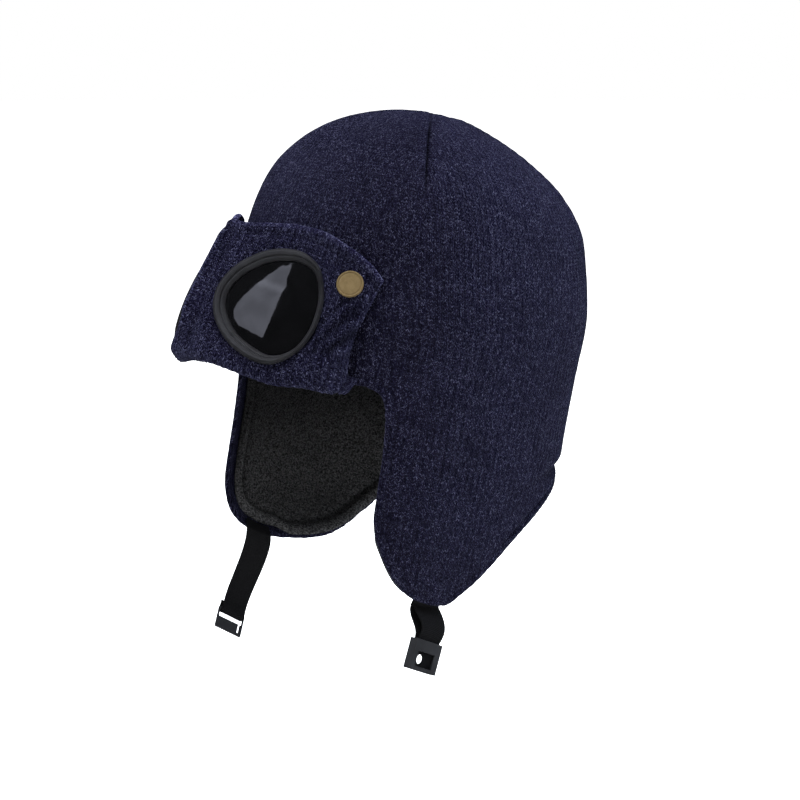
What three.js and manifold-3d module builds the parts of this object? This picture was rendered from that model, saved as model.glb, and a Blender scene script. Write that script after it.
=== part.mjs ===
// Knitted aviator hat: knitted crown with two long ear flaps, fleece lining, a turned-up front panel
// that carries two goggle lenses, snap caps, webbing ends and a small two-part clasp.
//
// Frame: millimetres, +Z up, the face looks along -Y, the wearer's left is +X. The origin is the
// highest point of the inside of the crown, where a head touches it.
import * as THREE from 'three';
import { mergeVertices } from 'three/addons/utils/BufferGeometryUtils.js';
import Module from 'manifold-3d';

const wasm = await Module();
wasm.setup();

// ---------------------------------------------------------------- driving dimensions
const KNIT_T = 3.0;            // knitted wall
const LINING_T = 3.0;          // fleece wall
const LAYER_GAP = 0.95;        // clearance between the knit and the fleece
const TOP_Z = KNIT_T + LAYER_GAP + LINING_T;   // height of the outside top above the origin

const EQUATOR_DROP = 110;      // depth below the outside top where the dome ends and the side wall starts
const DART_JOINT_Y = 27;       // the four crown darts meet here, behind the top
const DART_SINK = 2.2;         // depth of the seam groove
const DART_PUFF = 1.5;         // swelling of the cloth beside the seam
const DART_REACH = 9;          // the swelling fades this far from the seam
const LINING_INSET = 4.5;      // the knit edge stands this far beyond the lining edge
const NAPE_CREASE_DROP = 212;  // soft crease across the nape above its edge
const NAPE_CREASE = 1.9;

const PANEL_T = 3.4;           // doubled knit of the turned-up front panel
const PANEL_GAP = 0.7;         // least clearance between the panel and the crown
const PANEL_TURN = 44.4;       // each half of the panel is turned this far from the front, degrees
const PANEL_LEAN = 33.4;       // and leans forward at its foot, degrees
const PANEL_ORIGIN = new THREE.Vector3(0, -161.5, -115.1);   // where the planes of the two halves would meet
const RIGHT_SET_BACK = 1.8;    // the right half of the panel lies this much closer to the head
const RIGHT_TOP_RISE = 4.5;    // the top edge of the right half stands up this much beside the middle
const FOLD_RADIUS = 5;         // rounding along the lower edge, where the panel turns under

const LENS_CENTRE = { u: 46.2, v: 44.4 };   // in the plane of one half of the panel
const SNAP_CENTRE = { u: 82.4, v: 72.2 };

const WEB_WIDTH = 16.4;        // webbing
const WEB_T = 1.0;
const WEB_GAP = 0.4;
const SOCKET = { width: 19.6, length: 17.4, depth: 6.0 };
const PLUG = { width: 18.6, length: 13.6, depth: 1.6 };

// Cross-sections of the outside, by depth below the outside top.
const SECTIONS = [
  { drop: 0,   halfWidth: 0,    front: 0,    back: 0,   power: 2.05 },
  { drop: 6,   halfWidth: 35,   front: -36,  back: 31.5, power: 2.05 },
  { drop: 16,  halfWidth: 53,   front: -55.5, back: 52, power: 2.08 },
  { drop: 32,  halfWidth: 69,   front: -73,  back: 76,  power: 2.1 },
  { drop: 55,  halfWidth: 81.5, front: -85.5, back: 101, power: 2.12 },
  { drop: 85,  halfWidth: 89,   front: -94.5, back: 117, power: 2.15 },
  { drop: 120, halfWidth: 92,   front: -102, back: 119, power: 2.15 },
  { drop: 160, halfWidth: 91.5, front: -109, back: 110, power: 2.15 },
  { drop: 200, halfWidth: 91,   front: -115, back: 101, power: 2.15 },
  { drop: 230, halfWidth: 89,   front: -119, back: 93,  power: 2.15 },
  { drop: 260, halfWidth: 85,   front: -121, back: 87,  power: 2.15 },
  { drop: 300, halfWidth: 80,   front: -121, back: 82,  power: 2.15 },
];

// Edge of the knit, from the middle of the brow round the ear flap to the middle of the nape. angle turns
// from the front (0) over the side (90) to the back (180) and drop is the depth along the cloth; above is
// the angle of the point of the equator that the cloth runs up to from there. angle and drop hold for the
// left side; the right ear flap is a little rounder, so rightAngle and rightDrop give its edge.
const RIM = [
  { at: 'brow middle',      above: 0,    angle: 0,    drop: 133,   rightAngle: 0,    rightDrop: 133 },
  { at: 'brow',             above: 21,   angle: 22,   drop: 138,   rightAngle: 22,   rightDrop: 138 },
  { at: 'brow end',         above: 37,   angle: 37,   drop: 145,   rightAngle: 37,   rightDrop: 145 },
  { at: 'face corner',      above: 42,   angle: 43.5, drop: 147.5, rightAngle: 43.5, rightDrop: 147.5 },
  { at: 'corner turn',      above: 45,   angle: 48,   drop: 153,   rightAngle: 48,   rightDrop: 153 },
  { at: 'front edge top',   above: 48,   angle: 50,   drop: 163,   rightAngle: 49,   rightDrop: 163 },
  { at: 'front edge',       above: 51,   angle: 51,   drop: 181,   rightAngle: 49.2, rightDrop: 181 },
  { at: 'front edge low',   above: 54,   angle: 51.2, drop: 204,   rightAngle: 48.5, rightDrop: 204 },
  { at: 'flap bulge',       above: 57,   angle: 52,   drop: 226,   rightAngle: 46.5, rightDrop: 226 },
  { at: 'flap front curve', above: 61,   angle: 56.5, drop: 244,   rightAngle: 48.5, rightDrop: 245 },
  { at: 'flap lower front', above: 66,   angle: 63.2, drop: 261,   rightAngle: 57,   rightDrop: 260 },
  { at: 'flap tip front',   above: 73,   angle: 72.2, drop: 271.5,  rightAngle: 67,   rightDrop: 268 },
  { at: 'flap tip',         above: 83,   angle: 84.5, drop: 276.5, rightAngle: 81,   rightDrop: 273.5 },
  { at: 'flap tip back',    above: 91,   angle: 91.5, drop: 272,   rightAngle: 94,   rightDrop: 273.5 },
  { at: 'flap back low',    above: 101,  angle: 101,  drop: 263,   rightAngle: 106,  rightDrop: 267 },
  { at: 'flap back',        above: 118,  angle: 117,  drop: 243.5, rightAngle: 120,  rightDrop: 254 },
  { at: 'flap back top',    above: 135,  angle: 133,  drop: 231,   rightAngle: 135,  rightDrop: 237 },
  { at: 'nape corner',      above: 148,  angle: 147,  drop: 224.5, rightAngle: 148,  rightDrop: 227 },
  { at: 'nape',             above: 164,  angle: 163,  drop: 221,   rightAngle: 164,  rightDrop: 221.5 },
  { at: 'nape middle',      above: 180,  angle: 180,  drop: 220,   rightAngle: 180,  rightDrop: 220 },
];

// Lean of the lower part of each ear flap towards the head, in degrees, by depth along the cloth.
// The right flap curls in under its own stiffness, the left one hangs straight.
const HANG_FROM = 200;
const HANG = [
  { drop: 200, left: 0, right: 0 },
  { drop: 212, left: 0, right: 3 },
  { drop: 228, left: 0, right: 13 },
  { drop: 246, left: 1, right: 30 },
  { drop: 264, left: 3, right: 46 },
  { drop: 300, left: 4, right: 52 },
];

// One half of the front panel in its own plane: u runs from the middle of the forehead to the rear edge,
// v up the panel, out is how far the cloth stands in front of the plane. The two halves are joined by a
// rounded middle. footBend is the v below which the foot bends back, bow moves the middle of a column
// sideways, underAngle is the place on the brow where the turned-under leaf ends.
const PANEL = [
  { at: 'middle',       topU: 2.5,  topV: 80.2, topOut: -2.4, footU: 6.0,   footV: 0.8,  footOut: -9.0,  midOut: 0.8,  footBend: 31, bow: 0,    underAngle: 0 },
  { at: 'bridge side',  topU: 9.5,  topV: 80.6, topOut: -0.8, footU: 16.0,  footV: -0.7, footOut: -6.8,  midOut: -0.5, footBend: 26, bow: 0,    underAngle: 4 },
  { at: 'lens near',    topU: 17,   topV: 82.8, topOut: 0,    footU: 22.5,  footV: -0.6, footOut: -2.0,  midOut: 0,    footBend: 15, bow: 0,    underAngle: 8 },
  { at: 'lens inner',   topU: 27,   topV: 86.8, topOut: 0.2,  footU: 31.5,  footV: 0.2,  footOut: 0,     midOut: 0,    footBend: 12, bow: 0,    underAngle: 13.5 },
  { at: 'lens middle',  topU: 41,   topV: 91.3, topOut: 1.2,  footU: 47,    footV: 0.9,  footOut: 0,     midOut: 0,    footBend: 12, bow: 0,    underAngle: 21 },
  { at: 'lens outer',   topU: 56,   topV: 93.0, topOut: 3.4,  footU: 63.3,  footV: 2.0,  footOut: 0,     midOut: 0,    footBend: 12, bow: 0,    underAngle: 28.5 },
  { at: 'lens behind',  topU: 69.5, topV: 91.2, topOut: 4.0,  footU: 81.3,  footV: 8.4,  footOut: -3,    midOut: 0,    footBend: 18, bow: 0,    underAngle: 35 },
  { at: 'snap behind',  topU: 86,   topV: 87.6, topOut: 1.5,  footU: 95.5,  footV: 12.2, footOut: -10,   midOut: -1,   footBend: 34, bow: -1.6, underAngle: 37.6 },
  { at: 'rear edge',    topU: 97,   topV: 82.5, topOut: -3,   footU: 102,   footV: 17.6, footOut: -19,   midOut: -7,   footBend: 44, bow: -4,   underAngle: 39.4 },
];

// Outline of a goggle rim in the plane of the panel: radius at each angle from the rear, turning up.
const RIM_OUTLINE = [
  { angle: 10,  radius: 29.8 },
  { angle: 33,  radius: 30.6 },
  { angle: 48,  radius: 31.9 },
  { angle: 64,  radius: 33.7 },
  { angle: 79,  radius: 33.6 },
  { angle: 96,  radius: 32.0 },
  { angle: 118, radius: 29.9 },
  { angle: 141, radius: 28.8 },
  { angle: 168, radius: 29.6 },
  { angle: 190, radius: 30.9 },
  { angle: 205, radius: 31.2 },
  { angle: 232, radius: 30.9 },
  { angle: 262, radius: 31.8 },
  { angle: 278, radius: 33.3 },
  { angle: 298, radius: 35.1 },
  { angle: 321, radius: 33.5 },
  { angle: 350, radius: 30.8 },
];

// Section of a goggle rim: distance out from the outline, height above the panel. The rim is narrower
// towards the rear: there each point moves outwards by its share of RIM_NARROW.
const RIM_SECTION = [
  { out: 0,    up: 0.5,  share: 0 },
  { out: 0,    up: 2.0,  share: 0 },
  { out: -0.8, up: 3.3,  share: 0.08 },
  { out: -2.0, up: 3.8,  share: 0.25 },
  { out: -6.0, up: 2.2,  share: 1 },
  { out: -7.0, up: 1.4,  share: 1 },
  { out: -7.0, up: -0.2, share: 1 },
  { out: -8.2, up: -0.2, share: 1 },
  { out: -8.2, up: -3.4, share: 1 },
  { out: -6.5, up: -3.4, share: 1 },
  { out: -6.5, up: 0.5,  share: 1 },
];
const RIM_NARROW = 4.0;
const RIM_HOLE = -6.1;         // edge of the hole in the panel, from the outline
const LENS_EDGE = -7.4;
const LENS_RISE = 3.0;

// Crown darts: angle of the equator point that each seam runs towards, and the depth where it ends.
const DARTS = [
  { at: 'front left',  angle: 59.5,  endDrop: 50 },
  { at: 'back left',   angle: 144.8, endDrop: 84 },
  { at: 'back right',  angle: 215.2, endDrop: 84 },
  { at: 'front right', angle: 300.5, endDrop: 44 },
];

// ---------------------------------------------------------------- small helpers
const rad = THREE.MathUtils.degToRad;
const { lerp, clamp } = THREE.MathUtils;

// Monotone cubic curve through the points (xs, ys).
function through(xs, ys) {
  const n = xs.length;
  const slope = xs.slice(1).map((x, i) => (ys[i + 1] - ys[i]) / (x - xs[i]));
  const m = xs.map((x, i) => {
    if (i === 0) return slope[0];
    if (i === n - 1) return slope[n - 2];
    if (slope[i - 1] * slope[i] <= 0) return 0;
    const w1 = 2 * (xs[i + 1] - x) + (x - xs[i - 1]);
    const w2 = (xs[i + 1] - x) + 2 * (x - xs[i - 1]);
    return (w1 + w2) / (w1 / slope[i - 1] + w2 / slope[i]);
  });
  return (x) => {
    let i = 0;
    while (i < n - 2 && x > xs[i + 1]) i++;
    const h = xs[i + 1] - xs[i];
    const t = clamp((x - xs[i]) / h, 0, 1);
    const t2 = t * t;
    const t3 = t2 * t;
    return (2 * t3 - 3 * t2 + 1) * ys[i] + (t3 - 2 * t2 + t) * h * m[i]
      + (3 * t2 - 2 * t3) * ys[i + 1] + (t3 - t2) * h * m[i + 1];
  };
}

const smooth = (a, b, x) => THREE.MathUtils.smoothstep(x, a, b);
const bell = (x, width) => Math.exp(-((x / width) ** 2));

// A closed body from a list of points and a list of triangles.
function solid(points, faces) {
  const g = new THREE.BufferGeometry();
  g.setAttribute('position', new THREE.Float32BufferAttribute(points.flatMap((p) => [p.x, p.y, p.z]), 3));
  g.setIndex(faces.flat());
  g.computeVertexNormals();
  return g;
}

// ---------------------------------------------------------------- the outside surface of the hat
const depthKey = SECTIONS.map((s) => Math.sqrt(s.drop));
const column = (name) => through(depthKey, SECTIONS.map((s) => s[name]));
const halfWidthOf = column('halfWidth');
const frontOf = column('front');
const backOf = column('back');
const powerOf = column('power');

function section(drop) {
  const k = Math.sqrt(Math.max(drop, 0));
  const front = frontOf(k);
  const back = backOf(k);
  return { a: halfWidthOf(k), mid: (front + back) / 2, b: (back - front) / 2, n: powerOf(k) };
}

// Point of the outside at an angle round the section and a depth below the top.
function wallPoint(angle, drop) {
  const { a, mid, b, n } = section(drop);
  const c = Math.cos(rad(angle));
  const s = Math.sin(rad(angle));
  const r = (Math.abs(c / b) ** n + Math.abs(s / a) ** n) ** (-1 / n);
  return new THREE.Vector3(r * s, mid - r * c, TOP_Z - drop);
}

// How far a point is outside (positive) or inside (negative) of the hat's outside surface.
function level(x, y, z) {
  const { a, mid, b, n } = section(Math.max(TOP_Z - z, 0.01));
  return Math.abs(x / a) ** n + Math.abs((y - mid) / b) ** n - 1;
}

// Point of the dome above a place in plan.
function domePoint(x, y) {
  let high = 0.001;
  let low = EQUATOR_DROP;
  for (let i = 0; i < 40; i++) {
    const d = (high + low) / 2;
    if (level(x, y, TOP_Z - d) > 0) high = d;
    else low = d;
  }
  return new THREE.Vector3(x, y, TOP_Z - (high + low) / 2);
}

function outward(p) {
  const e = 0.05;
  const drop = Math.max(TOP_Z - p.z, 0.4);
  const z = TOP_Z - drop;
  return new THREE.Vector3(
    level(p.x + e, p.y, z) - level(p.x - e, p.y, z),
    level(p.x, p.y + e, z) - level(p.x, p.y - e, z),
    level(p.x, p.y, z + e) - level(p.x, p.y, z - e),
  ).normalize();
}

// The dome between the dart joint (w = 0) and the equator (w = 1).
function domeAt(angle, w) {
  const e = wallPoint(angle, EQUATOR_DROP);
  const k = Math.sin(w * Math.PI / 2);
  if (w > 0.9999) return e;
  return domePoint(e.x * k, DART_JOINT_Y + (e.y - DART_JOINT_Y) * k);
}

// Relief of the crown darts at a point of the dome: a sunk seam with the cloth puffed up beside it.
function dartRelief(p) {
  let h = 0;
  for (const dart of DARTS) {
    const e = wallPoint(dart.angle, EQUATOR_DROP);
    const dir = new THREE.Vector2(e.x, e.y - DART_JOINT_Y).normalize();
    const q = new THREE.Vector2(p.x, p.y - DART_JOINT_Y);
    const along = q.dot(dir);
    if (along < -3) continue;
    const off = Math.abs(q.x * dir.y - q.y * dir.x);
    const fade = 1 - smooth(dart.endDrop * 0.72, dart.endDrop * 1.04, TOP_Z - p.z);
    h += fade * (DART_PUFF * Math.exp(-(((off - DART_REACH * 0.55) / (DART_REACH * 0.42)) ** 2))
      - DART_SINK * Math.exp(-((off / 2.4) ** 2)));
  }
  return h;
}

// ---------------------------------------------------------------- the edge of the hat
// Rim point below a point of the equator, moved into the cloth by inset millimetres.
const MM_PER_DEGREE = 1.75;

function spline(values, t) {
  const n = values.length;
  const i = Math.min(Math.floor(t), n - 2);
  const f = t - i;
  const v = (k) => values[clamp(k, 0, n - 1)];
  const [p0, p1, p2, p3] = [v(i - 1), v(i), v(i + 1), v(i + 2)];
  return 0.5 * (2 * p1 + (p2 - p0) * f + (2 * p0 - 5 * p1 + 4 * p2 - p3) * f * f + (3 * p1 - p0 - 3 * p2 + p3) * f ** 3);
}

const aboveOf = through(RIM.map((r, i) => i), RIM.map((r) => r.above));
const rimTables = {
  left: { angle: RIM.map((r) => r.angle), drop: RIM.map((r) => r.drop) },
  right: { angle: RIM.map((r) => r.rightAngle), drop: RIM.map((r) => r.rightDrop) },
};

function rimBelow(above, side, inset) {
  let lo = 0;
  let hi = RIM.length - 1;
  for (let i = 0; i < 40; i++) {
    const mid = (lo + hi) / 2;
    if (aboveOf(mid) < above) lo = mid;
    else hi = mid;
  }
  const table = rimTables[side];
  const at = (k) => {
    const c = clamp(k, 0, RIM.length - 1);
    return new THREE.Vector2(spline(table.angle, c) * MM_PER_DEGREE, spline(table.drop, c));
  };
  const p = at(lo);
  if (inset) {
    const tangent = at(lo + 0.02).sub(at(lo - 0.02)).normalize();
    p.add(new THREE.Vector2(tangent.y, -tangent.x).multiplyScalar(inset));
  }
  return { angle: clamp(p.x / MM_PER_DEGREE, 0, 180), drop: p.y };
}

// ---------------------------------------------------------------- layers of the cloth
// Equator angles of the grid columns of one side; columns gather at the flap edge and at the darts.
const COLUMNS = [0, 9, 18, 26, 33, 38.5, 42, 45, 48, 51, 54, 57, 59.5, 62, 66, 72, 78, 84, 91, 99, 108, 117, 126, 134, 140.5,
  144.8, 149, 156, 164, 172];
const columnAngles = [...COLUMNS, 180, ...COLUMNS.slice(1).reverse().map((c) => 360 - c)];
const DOME_ROWS_OUT = [0.08, 0.18, 0.29, 0.4, 0.5, 0.6, 0.7, 0.8, 0.9, 1];
const DOME_ROWS_IN = [0.2, 0.4, 0.58, 0.74, 0.88, 1];
const SIDE_ROWS_OUT = [0.2, 0.4, 0.56, 0.68, 0.77, 0.85, 0.9, 0.95, 1];
const SIDE_ROWS_IN = [0.25, 0.45, 0.6, 0.7, 0.78, 0.86, 0.93, 1];

// How far the hanging cloth has moved inwards and down, by depth along the cloth.
const leanOf = {
  left: through(HANG.map((h) => h.drop), HANG.map((h) => h.left)),
  right: through(HANG.map((h) => h.drop), HANG.map((h) => h.right)),
};
function hang(side, drop) {
  let inward = 0;
  let down = 0;
  const steps = 24;
  const dd = (drop - HANG_FROM) / steps;
  if (dd <= 0) return { inward: 0, z: TOP_Z - drop };
  for (let i = 0; i < steps; i++) {
    const lean = rad(leanOf[side](HANG_FROM + (i + 0.5) * dd));
    inward += Math.sin(lean) * dd;
    down += Math.cos(lean) * dd;
  }
  return { inward, z: TOP_Z - HANG_FROM - down };
}

// Point of the side wall and the direction out of it.
function sidePoint(side, angle, drop) {
  const p = wallPoint(angle, drop);
  const h = hang(side, drop);
  return new THREE.Vector3((side === 'left' ? 1 : -1) * (p.x - h.inward), p.y, h.z);
}

function sideOut(side, angle, drop) {
  const round = sidePoint(side, angle + 0.5, drop).sub(sidePoint(side, angle - 0.5, drop));
  const down = sidePoint(side, angle, drop + 0.5).sub(sidePoint(side, angle, drop - 0.5));
  const out = down.cross(round).normalize();
  return side === 'left' ? out : out.negate();
}

function napeRelief(angle, drop) {
  const away = smooth(112, 140, angle);
  return away * (-NAPE_CREASE * bell(drop - NAPE_CREASE_DROP, 4) + 0.3 * bell(drop - NAPE_CREASE_DROP - 8, 5));
}

// A layer of the hat, sunk below the outside by depth, with its edge moved in by inset.
function layer(domeRows, sideRows, depth, inset, relief) {
  const top = domePoint(0, DART_JOINT_Y);
  const pole = top.clone().addScaledVector(outward(top), -depth);
  const rows = domeRows.map((w) => columnAngles.map((c) => {
    const p = domeAt(c, w);
    return p.clone().addScaledVector(outward(p), (relief ? dartRelief(p) : 0) - depth);
  }));
  sideRows.forEach((v) => rows.push(columnAngles.map((c) => {
    const side = c > 180 ? 'right' : 'left';
    const above = c > 180 ? 360 - c : c;
    const rim = rimBelow(above, side, inset);
    const angle = lerp(above, rim.angle, v);
    const drop = lerp(EQUATOR_DROP, rim.drop, v);
    return sidePoint(side, angle, drop).addScaledVector(sideOut(side, angle, drop), (relief ? napeRelief(angle, drop) : 0) - depth);
  })));
  return { pole, rows };
}

// Closes an outer and an inner layer with a strip along the rim.
function shell(outer, inner) {
  const points = [];
  const faces = [];
  const n = columnAngles.length;
  const add = (l, flip) => {
    const tri = (a, b, c) => faces.push(flip ? [a, c, b] : [a, b, c]);
    const pole = points.push(l.pole) - 1;
    const first = points.length;
    l.rows.forEach((row) => points.push(...row));
    for (let i = 0; i < n; i++) {
      const k = (i + 1) % n;
      tri(pole, first + i, first + k);
      for (let j = 0; j < l.rows.length - 1; j++) {
        const a = first + j * n;
        const b = a + n;
        tri(a + i, b + i, b + k);
        tri(a + i, b + k, a + k);
      }
    }
    return first + (l.rows.length - 1) * n;
  };
  const outRim = add(outer, false);
  const inRim = add(inner, true);
  for (let i = 0; i < n; i++) {
    const k = (i + 1) % n;
    faces.push([outRim + i, inRim + i, inRim + k], [outRim + i, inRim + k, outRim + k]);
  }
  return solid(points, faces);
}

const hat = new THREE.Group();
function piece(name, geometry, colour, roughness, metalness = 0) {
  const mesh = new THREE.Mesh(geometry, new THREE.MeshStandardMaterial({ color: colour, roughness, metalness }));
  mesh.name = name;
  hat.add(mesh);
  return mesh;
}

piece('crown_shell', shell(
  layer(DOME_ROWS_OUT, SIDE_ROWS_OUT, 0, 0, true),
  layer(DOME_ROWS_IN, SIDE_ROWS_IN, KNIT_T, 0, false),
), 0x1f1f2f, 0.95);
piece('lining', shell(
  layer(DOME_ROWS_IN, SIDE_ROWS_IN, KNIT_T + LAYER_GAP, LINING_INSET, false),
  layer(DOME_ROWS_IN, SIDE_ROWS_IN, TOP_Z, LINING_INSET, false),
), 0x1e1e1e, 0.98);

// ---------------------------------------------------------------- front panel
const panelUp = new THREE.Vector3(0, Math.sin(rad(PANEL_LEAN)), Math.cos(rad(PANEL_LEAN)));
const panelTilt = Math.atan(Math.cos(rad(PANEL_TURN)) * Math.tan(rad(PANEL_LEAN)));
const panelOut = new THREE.Vector3(
  Math.sin(rad(PANEL_TURN)) * Math.cos(panelTilt), -Math.cos(rad(PANEL_TURN)) * Math.cos(panelTilt), Math.sin(panelTilt));
const panelAcross = panelUp.clone().cross(panelOut);

// Point of one half of the panel's plane; side is 1 on the left and -1 on the right.
function panelPoint(u, v, out, side = 1) {
  if (side < 0) out -= RIGHT_SET_BACK * smooth(0, 9, u);
  const p = PANEL_ORIGIN.clone().addScaledVector(panelAcross, u).addScaledVector(panelUp, v).addScaledVector(panelOut, out);
  p.x *= side;
  return p;
}

const panelColumn = (name) => through(PANEL.map((p, i) => i), PANEL.map((p) => p[name]));
const panelOf = Object.fromEntries(Object.keys(PANEL[0]).filter((k) => k !== 'at').map((k) => [k, panelColumn(k)]));

// Outside of the panel: k runs over the table, q from the top edge (0) to the foot (1).
function panelSurface(k, q, side = 1) {
  const g = (name) => panelOf[name](k);
  const rolled = side < 0 ? RIGHT_TOP_RISE * smooth(0, 1.2, k) * (1 - smooth(2, 4.2, k)) : 0;
  const v = lerp(g('topV') + rolled, g('footV'), q);
  const u = lerp(g('topU'), g('footU'), q) + g('bow') * Math.sin(Math.PI * q);
  const rise = smooth(g('topV') - 13, g('topV'), v);
  const fall = 1 - smooth(g('footV'), g('footBend'), v);
  return { u, v, out: g('midOut') + (g('topOut') - g('midOut')) * rise + (g('footOut') - g('midOut')) * fall };
}

// Moves a point out until it clears the crown.
function clearOfCrown(p, gap) {
  for (let i = 0; i < 6; i++) {
    const e = 0.1;
    const here = level(p.x, p.y, p.z);
    const slope = new THREE.Vector3(
      level(p.x + e, p.y, p.z) - here, level(p.x, p.y + e, p.z) - here, level(p.x, p.y, p.z + e) - here).divideScalar(e);
    const distance = here / slope.length();
    if (distance >= gap - 0.01) break;
    p.addScaledVector(slope.normalize(), gap - distance);
  }
  return p;
}

const PANEL_STEPS = [0, 0.5, 1, 1.5, 2, 2.7, 3.4, 4, 4.6, 5.2, 5.8, 6.3, 6.8, 7.2, 7.6, 8];
const LEAF_ROWS = [0, 0.07, 0.15, 0.3, 0.5, 0.7, 0.85];
const FOLD_ROWS = [0.2, 0.5, 0.8];
const UNDER_ROWS = [0.35, 0.7, 1];

function panelMiddle(k, side) {
  const leaf = LEAF_ROWS.map((q) => {
    const s = panelSurface(k, q, side);
    return clearOfCrown(panelPoint(s.u, s.v, s.out - PANEL_T / 2, side), PANEL_GAP + PANEL_T / 2);
  });
  const s = panelSurface(k, 1, side);
  const foot = clearOfCrown(panelPoint(s.u, s.v, s.out - PANEL_T / 2, side), PANEL_GAP + PANEL_T / 2);
  const underAngle = panelOf.underAngle(k);
  const brow = rimBelow(underAngle, 'left', 0);
  const end = wallPoint(brow.angle, brow.drop - 4);
  end.addScaledVector(outward(end), PANEL_GAP + PANEL_T / 2);
  end.x *= side;
  const reach = foot.distanceTo(end);
  const turn = Math.min(FOLD_RADIUS * 1.6, reach * 0.45);
  const from = foot.clone().add(leaf[leaf.length - 1].clone().sub(foot).setLength(turn));
  const to = foot.clone().add(end.clone().sub(foot).setLength(turn));
  const fold = FOLD_ROWS.map((t) => from.clone().multiplyScalar((1 - t) ** 2)
    .addScaledVector(foot, 2 * t * (1 - t)).addScaledVector(to, t * t));
  const under = UNDER_ROWS.map((t) => to.clone().lerp(end, t));
  const column = [...leaf, from, ...fold, to, ...under];
  if (k === 0) column.forEach((p) => { p.x = 0; });
  return column;
}

const panelColumns = [
  ...PANEL_STEPS.slice(1).reverse().map((k) => panelMiddle(k, -1)),
  ...PANEL_STEPS.map((k) => panelMiddle(k, 1)),
];
function sheetSolid(middle, thickness) {
  const n = middle.length;
  const m = middle[0].length;
  const points = [];
  const faces = [];
  const at = (i, j) => middle[clamp(i, 0, n - 1)][clamp(j, 0, m - 1)];
  for (const way of [1, -1]) {
    for (let i = 0; i < n; i++) {
      for (let j = 0; j < m; j++) {
        const down = at(i, j + 1).clone().sub(at(i, j - 1));
        const across = at(i + 1, j).clone().sub(at(i - 1, j));
        points.push(at(i, j).clone().addScaledVector(down.cross(across).normalize(), way * thickness / 2));
      }
    }
  }
  const id = (way, i, j) => (way > 0 ? 0 : n * m) + i * m + j;
  for (let i = 0; i < n - 1; i++) {
    for (let j = 0; j < m - 1; j++) {
      const [a, b, c, d] = [id(1, i, j), id(1, i, j + 1), id(1, i + 1, j + 1), id(1, i + 1, j)];
      faces.push([a, b, c], [a, c, d]);
      const [e, f, g, h] = [id(-1, i, j), id(-1, i, j + 1), id(-1, i + 1, j + 1), id(-1, i + 1, j)];
      faces.push([e, g, f], [e, h, g]);
    }
    for (const [j, flip] of [[0, false], [m - 1, true]]) {
      const q = [id(1, i, j), id(1, i + 1, j), id(-1, i + 1, j), id(-1, i, j)];
      faces.push(flip ? [q[0], q[2], q[1]] : [q[0], q[1], q[2]], flip ? [q[0], q[3], q[2]] : [q[0], q[2], q[3]]);
    }
  }
  for (let j = 0; j < m - 1; j++) {
    for (const [i, flip] of [[0, true], [n - 1, false]]) {
      const q = [id(1, i, j), id(1, i, j + 1), id(-1, i, j + 1), id(-1, i, j)];
      faces.push(flip ? [q[0], q[2], q[1]] : [q[0], q[1], q[2]], flip ? [q[0], q[3], q[2]] : [q[0], q[2], q[3]]);
    }
  }
  return solid(points, faces);
}

// ---------------------------------------------------------------- goggle rims and lenses
const OUTLINE_STEPS = 36;
const outlineRadius = (() => {
  const wrapped = [-2, -1].map((k) => RIM_OUTLINE.at(k)).map((r) => ({ angle: r.angle - 360, radius: r.radius }))
    .concat(RIM_OUTLINE, RIM_OUTLINE.slice(0, 2).map((r) => ({ angle: r.angle + 360, radius: r.radius })));
  return through(wrapped.map((r) => r.angle), wrapped.map((r) => r.radius));
})();

// How far the inside of the rim is moved out at an angle of the outline.
const narrowing = (a) => RIM_NARROW * (a < 180 ? 1 - smooth(45, 100, a) : smooth(275, 325, a));

function outlinePoint(step, out, up, side, scale = 1, share = 1) {
  const a = (360 * step) / OUTLINE_STEPS;
  const r = (outlineRadius(a) + out + share * narrowing(a)) * scale;
  return panelPoint(LENS_CENTRE.u + r * Math.cos(rad(a)), LENS_CENTRE.v + r * Math.sin(rad(a)), up, side);
}

// A ring that carries a closed section round the outline.
function ring(sectionPoints, side) {
  const points = [];
  const faces = [];
  const m = sectionPoints.length;
  for (let i = 0; i < OUTLINE_STEPS; i++) sectionPoints.forEach((s) => points.push(outlinePoint(i, s.out, s.up, side, 1, s.share)));
  for (let i = 0; i < OUTLINE_STEPS; i++) {
    for (let j = 0; j < m; j++) {
      const [a, b] = [i * m + j, i * m + ((j + 1) % m)];
      const [c, d] = [((i + 1) % OUTLINE_STEPS) * m + ((j + 1) % m), ((i + 1) % OUTLINE_STEPS) * m + j];
      faces.push(side > 0 ? [a, c, b] : [a, b, c], side > 0 ? [a, d, c] : [a, c, d]);
    }
  }
  return solid(points, faces);
}

// A body of stacked outlines closed by its two middle points.
function stack(levels, side) {
  const points = [];
  const faces = [];
  const n = OUTLINE_STEPS;
  levels.forEach((l) => { for (let i = 0; i < n; i++) points.push(outlinePoint(i, l.out, l.up, side, l.scale)); });
  const first = points.push(panelPoint(LENS_CENTRE.u, LENS_CENTRE.v, levels[0].middle, side)) - 1;
  const last = points.push(panelPoint(LENS_CENTRE.u, LENS_CENTRE.v, levels.at(-1).middle, side)) - 1;
  const tri = (a, b, c) => faces.push(side > 0 ? [a, b, c] : [a, c, b]);
  for (let i = 0; i < n; i++) {
    const k = (i + 1) % n;
    tri(first, k, i);
    for (let j = 0; j < levels.length - 1; j++) {
      tri(j * n + i, j * n + k, (j + 1) * n + k);
      tri(j * n + i, (j + 1) * n + k, (j + 1) * n + i);
    }
    tri(last, (levels.length - 1) * n + i, (levels.length - 1) * n + k);
  }
  return solid(points, faces);
}

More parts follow.
